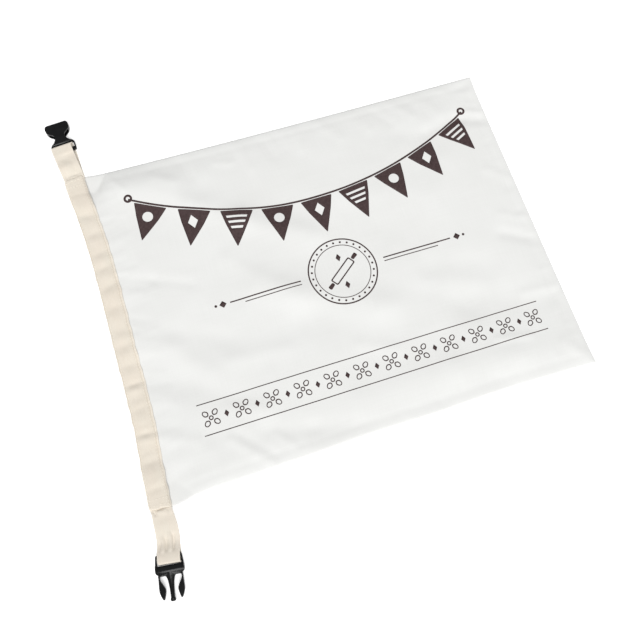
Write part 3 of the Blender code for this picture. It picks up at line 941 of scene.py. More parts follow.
@dataclass
class MouthTape:
    """The 20 mm tape across the mouth, its ends turned under over the strap loops."""

    plan: Plan
    finish: WebbingFinish
    width: float = 20 * MM
    thick: float = 0.85 * MM
    over_cloth: float = 0.81 * MM
    lift: float = 2.85 * MM
    level_end: float = 20 * MM
    drop_end: float = 45 * MM
    turn_radius: float = 0.46 * MM
    turn_under: float = 11 * MM
    low_inset: tuple = (3.9 * MM, 2.2 * MM)
    high_inset: tuple = (3.2 * MM, 0.3 * MM)
    outer_row: float = 1.6 * MM
    inner_rows: tuple = (16.7 * MM, 18.3 * MM)
    valley: float = 0.34 * MM
    edge_lift: float = 0.3
    edge_reach: float = 2.6 * MM
    step: float = 1.3 * MM
    columns: int = 24

    def raised(self, place: np.ndarray) -> np.ndarray:
        """Return the extra height of the tape over the loops' tails, by place across the mouth."""
        from_end = np.minimum(place, self.plan.width - place)
        down = smooth((from_end - self.level_end) / (self.drop_end - self.level_end))
        return self.lift * (1.0 - down)

    def ends(self) -> tuple[float, float]:
        """Return where the tape's two ends lie, at its middle."""
        x = 10 * MM
        return float(self.plan.low.at(x)), float(self.plan.width + self.plan.high.at(x))

    def puckered(self, a: np.ndarray, y: np.ndarray) -> np.ndarray:
        """Return the tape's own relief.

        Args:
            a: Places across the tape, from its outer edge.
            y: Places across the bag's mouth.

        Returns:
            Heights over the cloth's lie.
        """
        low, high = self.ends()
        relief = np.zeros_like(y)
        for pucker in TAPE_PUCKERS:
            away = y / MM - pucker.place - pucker.slant * (a / MM - 10)
            relief += pucker.height * MM * np.exp(-((away / pucker.width) ** 2))
        edge_fade = smooth(np.minimum(y - low, high - y) / (14 * MM))
        between = bump_at(a, 9.5 * MM, 5.5 * MM)
        relief = relief * edge_fade * (0.35 + 0.65 * between) + 0.22 * MM * between
        for row, phase in ((self.outer_row, 0.0), (sum(self.inner_rows) / 2, 5.0)):
            gathered = self.along_noise(y, 190.0, phase)
            relief = relief - self.valley * (1.0 + 1.1 * gathered) * bump_at(a, row, 0.85 * MM)
            relief = relief + 0.22 * MM * gathered * bump_at(a, row, 2.6 * MM) * edge_fade
        return relief

    def height(self, a: np.ndarray, y: np.ndarray) -> np.ndarray:
        """Return the height of the middle of the tape at places across it and along it."""
        x = self.plan.mouth.at(y) + a
        low, high = self.ends()
        inner = np.clip(y, low + 3 * MM, high - 3 * MM)
        from_edge = smooth(np.minimum(a, self.width - a) / self.edge_reach)
        lift = self.raised(inner) * (self.edge_lift + (1.0 - self.edge_lift) * from_edge)
        return self.plan.front(x, inner) + self.over_cloth + lift + self.puckered(a, y)

    def along_noise(self, y: np.ndarray, pace: float, phase: float) -> np.ndarray:
        """Return noise from -1 to 1 that changes along the tape only.

        Args:
            y: Places across the bag's mouth, as a row or as a grid whose first axis is the tape's length.
            pace: Noise cells to a metre.
            phase: Tells one noise from another.

        Returns:
            The noise, in a shape that fits y.
        """
        places = y[:, 0] if y.ndim == 2 else y
        found = np.array([noise.noise(Vector((place * pace, phase, 0.0))) for place in places])
        return found[:, None] if y.ndim == 2 else found

    def wavy_sides(self, a: np.ndarray, y: np.ndarray) -> np.ndarray:
        """Return how the sewing draws the tape's long edges out of line."""
        side = (a / self.width - 0.5) * 2.0
        outer = self.along_noise(y, 120.0, 9.0) * np.maximum(-side, 0.0) ** 2
        inner = self.along_noise(y, 120.0, 14.0) * np.maximum(side, 0.0) ** 2
        return 0.7 * MM * (outer + inner)

    def route(self) -> np.ndarray:
        """Return places across the mouth and drops below the tape's lie, turned ends included."""
        low, high = self.ends()
        turns = np.linspace(0.0, math.pi, 9)
        under = np.linspace(0.0, self.turn_under, 6)[1:]
        radius = self.turn_radius
        start = [(low + under_at, -2 * radius) for under_at in under[::-1]]
        start += [(low - radius * math.sin(t), -radius * (1 - math.cos(t))) for t in turns[::-1]]
        steps = int((high - low) / self.step)
        main = [(y, 0.0) for y in np.linspace(low, high, steps + 1)[1:-1]]
        end = [(high + radius * math.sin(t), -radius * (1 - math.cos(t))) for t in turns]
        end += [(high - under_at, -2 * radius) for under_at in under]
        return np.array(start + main + end)

    def wavy_end(self, a: np.ndarray, y: np.ndarray) -> np.ndarray:
        """Return how the sewing draws the tape's ends out of line, by place across the tape."""
        low, high = self.ends()
        near = 1.0 - smooth((np.minimum(y - low, high - y) + 1 * MM) / (14 * MM))
        wave = (0.45 * np.sin(a / MM * 0.62 + 0.8) + 0.25 * np.sin(a / MM * 1.35)) * MM
        share = a / self.width
        low_end = blend_between(self.low_inset[0], self.low_inset[1], share) + wave
        high_end = blend_between(self.high_inset[0], self.high_inset[1], share) + 0.8 * wave
        return near * np.where(y < self.plan.width / 2, low_end, -high_end)

    def build(self) -> bpy.types.Object:
        self.material = self.finish.build()
        route = self.route()
        across = graded(self.width, self.columns, (0.0, 0.2 * MM, 0.5 * MM))
        y, a = np.meshgrid(route[:, 0], across, indexing="ij")
        y = y + self.wavy_end(a, y)
        drop = np.repeat(route[:, 1:], len(across), axis=1)
        sway = np.array([0.25 * MM * noise.noise(Vector((place * 60.0, 2.2, 0.0))) for place in route[:, 0]])
        x = self.plan.mouth.at(y) + a + sway[:, None] + self.wavy_sides(a, y)
        middle = self.plan.world(x, y, self.height(a, y) + drop)
        mesh = Sheet("tape", middle[:, ::-1], self.thick, round_along=False).mesh()
        piece = add_piece("tape", mesh, self.material)
        finish_piece(piece, Slot.WEBBING, "mouth_tape")
        low, high = self.ends()
        return piece

    def row(self, a: float, inset: float = 1.5 * MM) -> np.ndarray:
        """Return the points of a row of stitches along the tape."""
        low, high = self.ends()
        y = np.arange(low + inset, high - inset, 1.0 * MM)
        a_all = np.full_like(y, a)
        y = y + self.wavy_end(a_all, y)
        z = self.height(a_all, y) + self.thick / 2 + 0.02 * MM
        return self.plan.world(self.plan.mouth.at(y) + a_all + self.wavy_sides(a_all, y), y, z)

    def cross_row(self, y: float) -> np.ndarray:
        """Return the points of a row of stitches across the tape."""
        a = np.arange(2.2 * MM, self.width - 2.2 * MM, 0.8 * MM)
        y_all = np.full_like(a, y)
        y_all = y_all + self.wavy_end(a, y_all)
        z = self.height(a, y_all) + self.thick / 2 + 0.02 * MM
        return self.plan.world(self.plan.mouth.at(y_all) + a, y_all, z)

    def stitch_rows(self) -> list[np.ndarray]:
        """Return all rows of stitches that hold the tape and the loops' tails."""
        low, high = self.ends()
        rows = [self.row(a) for a in (self.outer_row, *self.inner_rows)]
        return rows + [self.cross_row(y) for y in (low + 2.6 * MM, low + 10 * MM, high - 2.6 * MM,
                                                  high - 10 * MM)]


@dataclass
class StrapLoop:
    """A short strap folded round the bar of one buckle half."""

    plan: Plan
    half: Half
    material: bpy.types.Material
    x: float
    y: float
    facing: float
    lean_start: float
    lean_end: float
    rear: float
    fold: float
    height: float
    bar: float
    upper_drift: Edge
    lower_drift: Edge
    narrowing: Edge
    puckers: tuple = ()
    dents: tuple = ()
    buckle_shift: tuple = (0.0, 0.0)
    buckle_turn: float = 0.0
    clear_turn: float = math.radians(48)
    climb_start: float = 2 * MM
    climb_end: float = 28 * MM
    tape_end: float = -2.4 * MM
    sag: tuple = (0.0, 1.0, 0.0)
    tail: float = 12 * MM
    width: float = 20 * MM
    thick: float = 0.85 * MM
    gap: float = 0.35 * MM
    sewn: tuple = (2.95 * MM, 3.9 * MM)
    step: float = 1.0 * MM
    columns: int = 22

    def heading(self, along: np.ndarray) -> np.ndarray:
        """Return the strap's heading at a distance from the bag's side."""
        return blend_between(self.lean_start, self.lean_end, np.clip(along / self.fold, 0.0, 1.0))

    def middle_line(self, along: np.ndarray) -> np.ndarray:
        """Return the sideways place of the strap's middle line."""
        bent = np.maximum(along, 0.0)
        curve = (self.lean_end - self.lean_start) * bent ** 2 / (2 * self.fold)
        return -(np.minimum(along, 0.0) * self.lean_start + self.lean_start * bent + curve)

    def route(self) -> np.ndarray:
        """Return the side view of the loop, out below the bar, round it and back above it.

        Returns:
            Rows of the distance out, the height and the share of the upper layer.
        """
        radius = self.bar / 2 + self.gap + self.thick / 2
        turn = self.fold - radius - self.thick / 2
        level = self.climb_end
        layers = []
        for share, (sewn, at_bar) in enumerate(zip(self.sewn, (self.height - radius,
                                                               self.height + radius))):
            places = np.arange(-self.tail, level, self.step)
            rise = smooth((places - self.climb_start) / (level - self.climb_start))
            flat = np.arange(level, turn, self.step)
            out = np.concatenate([places, flat])
            up = np.concatenate([blend_between(sewn, at_bar, rise), np.full_like(flat, at_bar)])
            layers.append(np.stack([out, up, np.full_like(out, share)], axis=-1))
        angles = np.linspace(-math.pi / 2, math.pi / 2, 22)
        over = smooth((angles - self.clear_turn) / (math.pi / 2 - self.clear_turn))
        bend = np.stack([turn + radius * np.cos(angles), self.height + radius * np.sin(angles), over],
                        axis=-1)
        return np.concatenate([layers[0], bend, layers[1][::-1]])

    def relief(self, along: np.ndarray, a: np.ndarray) -> np.ndarray:
        """Return the puckers across the strap and the dents along it.

        Args:
            along: Distances from the bag's side.
            a: Places across the strap, from its middle.

        Returns:
            Heights over the upper layer's lie.
        """
        found = 0.14 * MM * bump_at(a, 0.0, 6 * MM)
        for place, slant, width, height in self.puckers:
            away = along / MM - place - slant * a / MM
            found = found + height * MM * np.exp(-((away / width) ** 2)) * (
                0.4 + 0.6 * bump_at(a, 0.0, 7 * MM))
        for side, lean, start, end, width, height in self.dents:
            away = a / MM - side - lean * (along / MM - start)
            reach = smooth((along / MM - start) / 5.0) * smooth((end - along / MM) / 5.0)
            found = found + height * MM * reach * np.exp(-((away / width) ** 2))
        shown = along - self.tape_end
        past_tape = np.where(found < 0.0, smooth((shown + 1.2 * MM) / (1.8 * MM)),
                             smooth(shown / (2.5 * MM)))
        return found * smooth((self.rear - 0.5 * MM - along) / (3 * MM)) * past_tape

    def build(self) -> bpy.types.Object:
        route = self.route()
        across = graded(self.width, self.columns, (0.0, 0.2 * MM, 0.5 * MM)) - self.width / 2
        along = np.repeat(route[:, :1], len(across), axis=1)
        upper = np.repeat(route[:, 2:], len(across), axis=1)
        a = np.repeat(across[None, :], len(route), axis=0)
        z = np.repeat(route[:, 1:2], len(across), axis=1)
        relief = self.relief(along, a)
        place, reach, depth = self.sag
        z = z - depth * MM * np.exp(-(((along / MM - place) / reach) ** 2))
        z = z + blend_between(-0.3 * relief, relief, upper)
        drift = blend_between(self.lower_drift.at(along), self.upper_drift.at(along), upper)
        spread = a * (1.0 - self.narrowing.at(along) / self.width)
        turn = self.heading(along)
        local_x = self.middle_line(along) + drift + spread * np.cos(turn)
        local_y = along + spread * np.sin(turn)
        c, s = math.cos(self.facing), math.sin(self.facing)
        x = self.x + local_x * c - local_y * s
        y = self.y + local_x * s + local_y * c
        name = f"{self.half.value}_strap"
        middle = self.plan.world(x, y, z)
        mesh = Sheet(name, middle[:, ::-1], self.thick, round_along=False).mesh()
        piece = add_piece(name, mesh, self.material)
        finish_piece(piece, Slot.WEBBING, f"{self.half.value}_loop")
        return piece

    def seat(self) -> Matrix:
        """Return where the buckle half on this strap lies, from its own plan to the frame."""
        local = Vector((float(self.middle_line(np.array(self.rear))), self.rear, 0.0))
        local += Vector((*self.buckle_shift, 0.0))
        local.rotate(Matrix.Rotation(self.facing, 3, "Z"))
        place = self.plan.origin + Vector((self.x, self.y, self.height)) + local
        turn = self.facing + self.lean_end + self.buckle_turn
        return Matrix.Translation(place) @ Matrix.Rotation(turn, 4, "Z")


# The buckle


def rounded(points: Points, radius: float, steps: int = 5) -> Points:
    """Round an outline's corners.

    Args:
        points: Corners of a closed outline, in millimetres.
        radius: How far from a corner its curve starts, at most 0.45 of a side.
        steps: Points on each curve.

    Returns:
        The rounded outline in metres.
    """
    out = []
    count = len(points)
    for i, corner in enumerate(points):
        here = Vector(corner)
        before, after = Vector(points[i - 1]) - here, Vector(points[(i + 1) % count]) - here
        start = here + before.normalized() * min(radius, 0.45 * before.length)
        end = here + after.normalized() * min(radius, 0.45 * after.length)
        for step in range(steps + 1):
            t = step / steps
            spot = start * (1 - t) ** 2 + here * 2 * t * (1 - t) + end * t ** 2
            out.append((spot.x * MM, spot.y * MM))
    return out


def both_sides(half: tuple) -> Points:
    """Return a closed outline from its right half."""
    return list(half) + [(-x, y) for x, y in reversed(half)]


def filled(name: str, loops: list[Points], thick: float) -> bpy.types.Mesh:
    """Fill outlines as a flat plate about its middle plane.

    Args:
        name: Name of the mesh.
        loops: Closed outlines in metres; one inside another is a hole.
        thick: Thickness, or 0 for a single surface.

    Returns:
        The mesh, with its caps welded.
    """
    curve = bpy.data.curves.new(name, "CURVE")
    curve.dimensions = "2D"
    curve.fill_mode = "BOTH"
    curve.extrude = thick / 2
    for points in loops:
        spline = curve.splines.new("POLY")
        spline.points.add(len(points) - 1)
        for point, (x, y) in zip(spline.points, points):
            point.co = (x, y, 0.0, 1.0)
        spline.use_cyclic_u = True
    drawn = bpy.data.objects.new(name, curve)
    bpy.context.scene.collection.objects.link(drawn)
    mesh = baked(drawn)
    data = mesh.data
    bpy.data.objects.remove(mesh, do_unlink=True)
    work = bmesh.new()
    work.from_mesh(data)
    bmesh.ops.remove_doubles(work, verts=work.verts[:], dist=0.005 * MM)
    if thick:
        bmesh.ops.dissolve_limit(work, angle_limit=math.radians(0.5), verts=work.verts[:],
                                 edges=work.edges[:])
        bmesh.ops.recalc_face_normals(work, faces=work.faces[:])
    work.to_mesh(data)
    work.free()
    return data


def with_rounded_rim(mesh: bpy.types.Mesh, radius: float, segments: int = 4) -> bpy.types.Mesh:
    """Round the upper and lower rims of a plate.

    Args:
        mesh: A plate about its middle plane.
        radius: Radius of the rims.
        segments: Faces round each rim.

    Returns:
        The same mesh.
    """
    work = bmesh.new()
    work.from_mesh(mesh)
    rim = [edge for edge in work.edges
           if abs(edge.verts[0].co.z - edge.verts[1].co.z) < 0.1 * MM and len(edge.link_faces) == 2
           and edge.calc_face_angle(0.0) > 1.0]
    bmesh.ops.bevel(work, geom=rim, offset=radius, segments=segments, profile=0.5, affect="EDGES",
                    clamp_overlap=True)
    bmesh.ops.recalc_face_normals(work, faces=work.faces[:])
    work.to_mesh(mesh)
    work.free()
    return mesh


def slab(low: tuple, high: tuple) -> bpy.types.Mesh:
    """Return a box between two corners, as a mesh."""
    mesh = bpy.data.meshes.new("slab")
    work = bmesh.new()
    size = [b - a for a, b in zip(low, high)]
    middle = [(a + b) / 2 for a, b in zip(low, high)]
    bmesh.ops.create_cube(work, size=1.0,
                          matrix=Matrix.Translation(middle) @ Matrix.Diagonal((*size, 1.0)))
    work.to_mesh(mesh)
    work.free()
    return mesh


@dataclass
class BuckleHalf:
    """What both buckle halves share: a thin strap frame and a body cut from crossed profiles."""

    material: bpy.types.Material
    slot_width: float = 20.8 * MM
    bar_length: float = 3.5 * MM
    edge: float = 0.26 * MM
    reach: float = 120 * MM

    def combine(self, body: bpy.types.Object, mesh: bpy.types.Mesh, operation: str = "DIFFERENCE") -> None:
        """Cut a mesh out of a body, join it to the body, or keep what both share.

        Args:
            body: The body.
            mesh: The cutter or the part that joins.
            operation: Blender's name for the Boolean operation.
        """
        helper = bpy.data.objects.new("helper", mesh)
        bpy.context.scene.collection.objects.link(helper)
        step = body.modifiers.new("combine", "BOOLEAN")
        step.operation = operation
        step.solver = "EXACT"
        step.object = helper
        graph = bpy.context.evaluated_depsgraph_get()
        made = bpy.data.meshes.new_from_object(body.evaluated_get(graph), depsgraph=graph)
        body.modifiers.clear()
        body.data = made
        bpy.data.objects.remove(helper, do_unlink=True)

    def side_profile(self, points: Points, radius: float) -> bpy.types.Mesh:
        """Return a prism across the buckle from its side view.

        Args:
            points: Places along the buckle and heights, in millimetres.
            radius: Rounding of the corners, in millimetres.

        Returns:
            The prism, wider than the buckle.
        """
        mesh = filled("side", [rounded(points, radius)], self.reach)
        mesh.transform(Matrix(((0, 0, 1, 0), (1, 0, 0, 0), (0, 1, 0, 0), (0, 0, 0, 1))))
        return mesh

    def end_profile(self, half_width: float, half_height: float, power: float) -> bpy.types.Mesh:
        """Return a prism along the buckle whose section is a flat oval with full shoulders.

        Args:
            half_width: Half of its width, in metres.
            half_height: Half of its height, in metres.
            power: How square the oval is; 2 is an ellipse.

        Returns:
            The prism, longer than the buckle.
        """
        points = []
        count = 96
        for i in range(count):
            angle = 2 * math.pi * (i + 0.5) / count
            c, s = math.cos(angle), math.sin(angle)
            points.append((math.copysign(abs(c) ** (2 / power), c) * half_width,
                           math.copysign(abs(s) ** (2 / power), s) * half_height))
        mesh = filled("end", [points], self.reach)
        mesh.transform(Matrix.Rotation(math.pi / 2, 4, "X"))
        return mesh

    def cut_slot(self, body: bpy.types.Object, slot_end: float) -> None:
        """Cut the strap's slot ahead of the bar."""
        half = self.slot_width / 2
        self.combine(body, slab((-half, self.bar_length, -self.reach), (half, slot_end, self.reach)))

    def soften(self, body: bpy.types.Object) -> bpy.types.Object:
        """Break the sharp edges that the cuts leave, and shade the body smooth.

        Args:
            body: The body, in its own plan.

        Returns:
            The body as a plain mesh.
        """
        work = bmesh.new()
        work.from_mesh(body.data)
        bmesh.ops.remove_doubles(work, verts=work.verts[:], dist=0.01 * MM)
        bmesh.ops.dissolve_limit(work, angle_limit=math.radians(0.6), verts=work.verts[:],
                                 edges=work.edges[:])
        work.to_mesh(body.data)
        work.free()
        bevel = body.modifiers.new("edges", "BEVEL")
        bevel.width = self.edge
        bevel.segments = 2
        bevel.limit_method = "ANGLE"
        bevel.angle_limit = math.radians(40)
        bevel.use_clamp_overlap = True
        bevel.harden_normals = False
        plain = baked(body)
        plain.data.shade_smooth()
        plain.data.set_sharp_from_angle(angle=math.radians(38))
        return plain

    def settle(self, body: bpy.types.Object, seat: Matrix, replaced: str) -> bpy.types.Object:
        """Soften a body, lay it in its place and tie it to the frame.

        Args:
            body: The body, in its own plan.
            seat: Where it lies in the frame.
            replaced: The solid that it stands for.

        Returns:
            The piece.
        """
        body = self.soften(body)
        body.data.transform(seat)
        body.data.materials.clear()
        body.data.materials.append(self.material)
        return finish_piece(body, Slot.PLASTIC, replaced)


@dataclass
class Socket(BuckleHalf):
    """The receiving half: a crowned flat mouth, a waist with side windows and a thin strap frame."""

    edge: float = 0.11 * MM
    slot_end: float = 9.45 * MM
    half_width: float = 12.5 * MM
    half_height: float = 4.0 * MM
    squareness: float = 3.4
    cavity_start: float = 12.6 * MM
    cavity_width: float = 20.0 * MM
    cavity_height: float = 4.8 * MM
    plan_side: tuple = (
        (11.6, 0.3), (12.0, 8.4), (11.0, 10.4), (7.6, 12.0), (5.6, 14.4), (4.9, 17.4),
        (5.6, 20.2), (9.2, 22.8), (11.4, 25.4), (12.0, 29.6), (11.3, 32.4), (8.6, 33.3))
    side_view: tuple = (
        (-1.0, 1.4), (9.4, 1.4), (11.2, 2.9), (13.8, 3.9), (17.0, 4.2), (31.6, 4.1), (33.5, 3.2))

    def build(self, seat: Matrix) -> bpy.types.Object:
        """Build the socket.

        Args:
            seat: Where it lies in the frame.

        Returns:
            The piece.
        """
        plate = filled("socket", [rounded(both_sides(self.plan_side), 1.8)], self.reach)
        body = add_piece("socket", plate, self.material)
        view = list(self.side_view) + [(y, -z) for y, z in reversed(self.side_view)]
        self.combine(body, self.side_profile(view, 1.2), "INTERSECT")
        self.combine(body, self.end_profile(self.half_width, self.half_height, self.squareness),
                     "INTERSECT")
        self.cut_slot(body, self.slot_end)
        half, high = self.cavity_width / 2, self.cavity_height / 2
        self.combine(body, slab((-half, self.cavity_start, -high), (half, self.reach, high)))
        self.combine(body, self.grip(1))
        self.combine(body, self.grip(-1))
        return self.settle(body, seat, "buckle_socket")

    def grip(self, side: int) -> bpy.types.Mesh:
        """Return a shallow panel that is sunk into the top or the underside."""
        panel = ((6.6, 22.8), (8.9, 25.0), (9.2, 28.6), (8.2, 29.9))
        mesh = filled("grip", [rounded(both_sides(panel), 1.2)], 0.6 * MM)
        mesh.transform(Matrix.Translation((0.0, 0.0, side * self.half_height)))
        return mesh


@dataclass
class Plug(BuckleHalf):
    """The pronged half: a thin strap frame, a round crossbar, two prongs and a guide tongue."""

    slot_end: float = 9.0 * MM
    prong_thick: float = 4.6 * MM
    frame_side: tuple = ((10.7, 0.0), (11.3, 0.9), (11.9, 6.0), (12.3, 10.0), (12.4, 14.2), (11.3, 16.3))
    frame_view: tuple = (
        (-1.0, 1.3), (7.8, 1.3), (9.0, 2.6), (10.8, 3.3), (13.4, 3.3), (15.2, 2.6), (16.5, 1.4))
    outer: tuple = ((10.4, 13.0), (10.5, 20.0), (10.8, 27.4), (10.7, 30.4), (9.5, 34.0), (8.0, 37.1))
    inner: tuple = ((6.9, 36.8), (6.0, 33.6), (5.2, 30.4), (5.2, 28.2), (7.1, 24.4), (9.0, 21.0),
                    (9.4, 19.2))
    web: tuple = ((8.9, 17.7), (4.0, 17.7))
    tongue: tuple = ((3.0, 20.0), (2.4, 23.0), (1.9, 28.0), (1.6, 35.6), (2.2, 36.5), (2.2, 38.0),
                     (1.2, 38.9))

    def build(self, seat: Matrix) -> bpy.types.Object:
        """Build the plug.

        Args:
            seat: Where it lies in the frame.

        Returns:
            The piece.
        """
        plate = filled("plug", [rounded(both_sides(self.frame_side), 1.2)], self.reach)
        body = add_piece("plug", plate, self.material)
        view = list(self.frame_view) + [(y, -z) for y, z in reversed(self.frame_view)]
        self.combine(body, self.side_profile(view, 1.0), "INTERSECT")
        self.cut_slot(body, self.slot_end)
        fork = rounded(both_sides(self.outer + self.inner + self.web + self.tongue), 1.0)
        fork_plate = with_rounded_rim(filled("fork", [fork], self.prong_thick), 0.45 * MM, 2)
        self.combine(body, fork_plate, "UNION")
        self.combine(body, self.rib(), "UNION")
        return self.settle(body, seat, "buckle_plug")

    def rib(self) -> bpy.types.Mesh:
        """Return the raised rib along the guide tongue."""
        outline = rounded([(-0.9, 14.0), (0.9, 14.0), (0.6, 36.8), (-0.6, 36.8)], 0.4)
        return with_rounded_rim(filled("rib", [outline], self.prong_thick + 0.9 * MM), 0.3 * MM, 2)


# The print


@dataclass
class Print:
    """A plain bakery pattern in brown ink, laid over the front cloth's folds."""

    plan: Plan
    finish: InkFinish = field(default_factory=InkFinish)
    film: float = 0.10 * MM
    proud: float = 0.12 * MM
    cell: float = 3.0 * MM
    swag_left: float = 56.0
    swag_right: float = 408.0
    swag_top: float = 292.0
    swag_sag: float = 50.0
    pennants: int = 9
    centre: tuple = (233.0, 160.0)
    ring: float = 34.0
    border_y: float = 62.0

    def swag(self, x: float) -> float:
        """Return the height of the hanging line at a place across."""
        half = (self.swag_right - self.swag_left) / 2
        share = (x - self.swag_left - half) / half
        return self.swag_top - self.swag_sag * (1.0 - share ** 2)

    @staticmethod
    def disc(x: float, y: float, radius: float, steps: int = 40) -> Points:
        """Return a circle in metres."""
        return [((x + radius * math.cos(2 * math.pi * i / steps)) * MM,
                 (y + radius * math.sin(2 * math.pi * i / steps)) * MM) for i in range(steps)]

    @staticmethod
    def placed(points: Points, x: float, y: float, turn: float) -> Points:
        """Return an outline in millimetres turned about zero and moved."""
        c, s = math.cos(turn), math.sin(turn)
        return [(x + px * c - py * s, y + px * s + py * c) for px, py in points]

    @staticmethod
    def metres(points: Points) -> Points:
        """Return an outline in metres."""
        return [(x * MM, y * MM) for x, y in points]

    def stroke(self, points: Points, wide: float) -> Points:
        """Return the outline of a line of even width through points in millimetres."""
        line = [Vector(point) for point in points]
        left, right = [], []
        for i, here in enumerate(line):
            run = (line[min(i + 1, len(line) - 1)] - line[max(i - 1, 0)]).normalized()
            out = Vector((-run.y, run.x)) * wide / 2
            left.append(tuple(here + out))
            right.append(tuple(here - out))
        return self.metres(left + right[::-1])

    def diamond(self, x: float, y: float, wide: float, tall: float) -> Points:
        """Return a diamond in metres."""
        return self.metres([(x + wide / 2, y), (x, y + tall / 2), (x - wide / 2, y), (x, y - tall / 2)])

    def garland(self) -> list[list[Points]]:
        """Return the line of pennants, each with a bare figure in it."""
        step = 4.0
        places = np.arange(self.swag_left, self.swag_right + step, step)
        found = [[self.stroke([(x, self.swag(x)) for x in places], 1.9)]]
        span = (self.swag_right - self.swag_left) / self.pennants
        for i in range(self.pennants):
            x = self.swag_left + span * (i + 0.5)
            slope = math.atan2(self.swag(x + 5) - self.swag(x - 5), 10)
            shape = [(-16.0, -1.6), (16.0, -1.6), (11.0, -15.0), (0.0, -39.0), (-11.0, -15.0)]
            body = self.placed(shape, x, self.swag(x), slope)
            spot = self.placed([(0.0, -13.5)], x, self.swag(x), slope)[0]
            if i % 3 == 0:
                bare = [self.disc(*spot, 5.2)]
            elif i % 3 == 1:
                bare = [self.diamond(*spot, 10.0, 14.0)]
            else:
                bare = [self.metres(self.placed([(-w, h), (w, h), (w - 0.9, h - 2.4), (-w + 0.9, h - 2.4)],
                                                x, self.swag(x), slope))
                        for w, h in ((10.5, -7.0), (8.6, -12.5), (6.2, -18.0))]
            found.append([rounded(body, 1.2, 3), *bare])
        for x in (self.swag_left, self.swag_right):
            found.append([self.disc(x, self.swag(x) + 1.0, 4.2), self.disc(x, self.swag(x) + 1.0, 2.0)])
        return found

    def rolling_pin(self, turn: float) -> list[list[Points]]:
        """Return a rolling pin in line, turned about the emblem's centre."""
        x, y = self.centre
        body = [(-15.0, -4.2), (15.0, -4.2), (15.0, 4.2), (-15.0, 4.2)]
        inner = [(-13.8, -3.0), (13.8, -3.0), (13.8, 3.0), (-13.8, 3.0)]
        found = [[rounded(self.placed(body, x, y, turn), 1.6, 3),
                  rounded(self.placed(inner, x, y, turn), 1.0, 3)]]
        for side in (-1, 1):
            grip = [(side * 15.8, -1.7), (side * 22.6, -2.1), (side * 22.6, 2.1), (side * 15.8, 1.7)]
            found.append([rounded(self.placed(grip, x, y, turn), 1.4, 3)])
        return found

    def emblem(self) -> list[list[Points]]:
        """Return the ringed emblem with its rolling pin and the ruled lines beside it."""
        x, y = self.centre
        found = [[self.disc(x, y, self.ring, 96), self.disc(x, y, self.ring - 1.3, 96)],
                 [self.disc(x, y, self.ring - 6.6, 96), self.disc(x, y, self.ring - 7.3, 96)]]
        for i in range(28):
            angle = 2 * math.pi * i / 28
            out = self.ring - 3.95
            found.append([self.disc(x + out * math.cos(angle), y + out * math.sin(angle), 1.05, 12)])
        found += self.rolling_pin(math.radians(38))
        for side in (-1, 1):
            near, far = x + side * (self.ring + 8), x + side * (self.ring + 78)
            found.append([self.stroke([(near, y + 1.8), (far, y + 1.8)], 1.2)])
            found.append([self.stroke([(near, y - 1.8), (far - side * 14, y - 1.8)], 0.8)])
            found.append([self.diamond(far + side * 7, y + 1.8, 7.0, 7.0)])
            found.append([self.disc(far + side * 14, y + 1.8, 1.3, 14)])
        for height in (14.5, -14.5):
            found.append([self.diamond(x, y + height, 5.0, 8.0)])
        return found

    def rosette(self, x: float, y: float) -> list[list[Points]]:
        """Return a small open flower with four petals."""
        found = [[self.disc(x, y, 2.2, 18), self.disc(x, y, 1.2, 18)]]
        for i in range(4):
            turn = math.pi / 2 * i + math.pi / 4
            petal = [(2.6, 0.0), (5.0, 2.9), (8.6, 2.1), (9.8, 0.0), (8.6, -2.1), (5.0, -2.9)]
            inside = [(3.9, 0.0), (5.4, 1.8), (8.1, 1.3), (8.8, 0.0), (8.1, -1.3), (5.4, -1.8)]
            found.append([rounded(self.placed(petal, x, y, turn), 1.5, 3),
                          rounded(self.placed(inside, x, y, turn), 0.9, 3)])
        return found

    def border(self) -> list[list[Points]]:
        """Return the row of rosettes and diamonds near the low side."""
        found = []
        for i in range(12):
            x = 74.0 + 29.0 * i
            found += self.rosette(x, self.border_y)
            if i < 11:
                found.append([self.diamond(x + 14.5, self.border_y, 4.4, 6.6)])
        for rule in (-14.5, 14.5):
            found.append([self.stroke([(64.0, self.border_y + rule), (403.0, self.border_y + rule)], 0.8)])
        return found

    def build(self) -> bpy.types.Object:
        """Fill every figure, cut it into small cells and lay it on the cloth."""
        self.material = self.finish.build()
        whole = bmesh.new()
        for loops in self.garland() + self.emblem() + self.border():
            mesh = filled("figure", loops, 0.0)
            whole.from_mesh(mesh)
            bpy.data.meshes.remove(mesh)
        for axis, far in ((0, self.plan.length), (1, self.plan.width)):
            for place in np.arange(self.cell, far, self.cell):
                point, normal = [0.0, 0.0, 0.0], [0.0, 0.0, 0.0]
                point[axis], normal[axis] = place, 1.0
                bmesh.ops.bisect_plane(whole, geom=whole.verts[:] + whole.edges[:] + whole.faces[:],
                                       dist=0.001 * MM, plane_co=point, plane_no=normal)
        bmesh.ops.triangulate(whole, faces=whole.faces[:])
        x = np.array([vert.co.x for vert in whole.verts])
        y = np.array([vert.co.y for vert in whole.verts])
        z = self.plan.front(x, y) + 0.35 * MM + self.proud
        for vert, place in zip(whole.verts, self.plan.world(x, y, z)):
            vert.co = Vector(place)
        for face in whole.faces:
            if face.normal.z < 0:
                face.normal_flip()
        mesh = bpy.data.meshes.new("print")
        whole.to_mesh(mesh)
        whole.free()
        piece = add_piece("print", mesh, self.material)
        mesh.shade_smooth()
        skin = piece.modifiers.new("film", "SOLIDIFY")
        skin.thickness = self.film
        skin.offset = -1.0
        return finish_piece(baked(piece), Slot.CLOTH)


# The studio


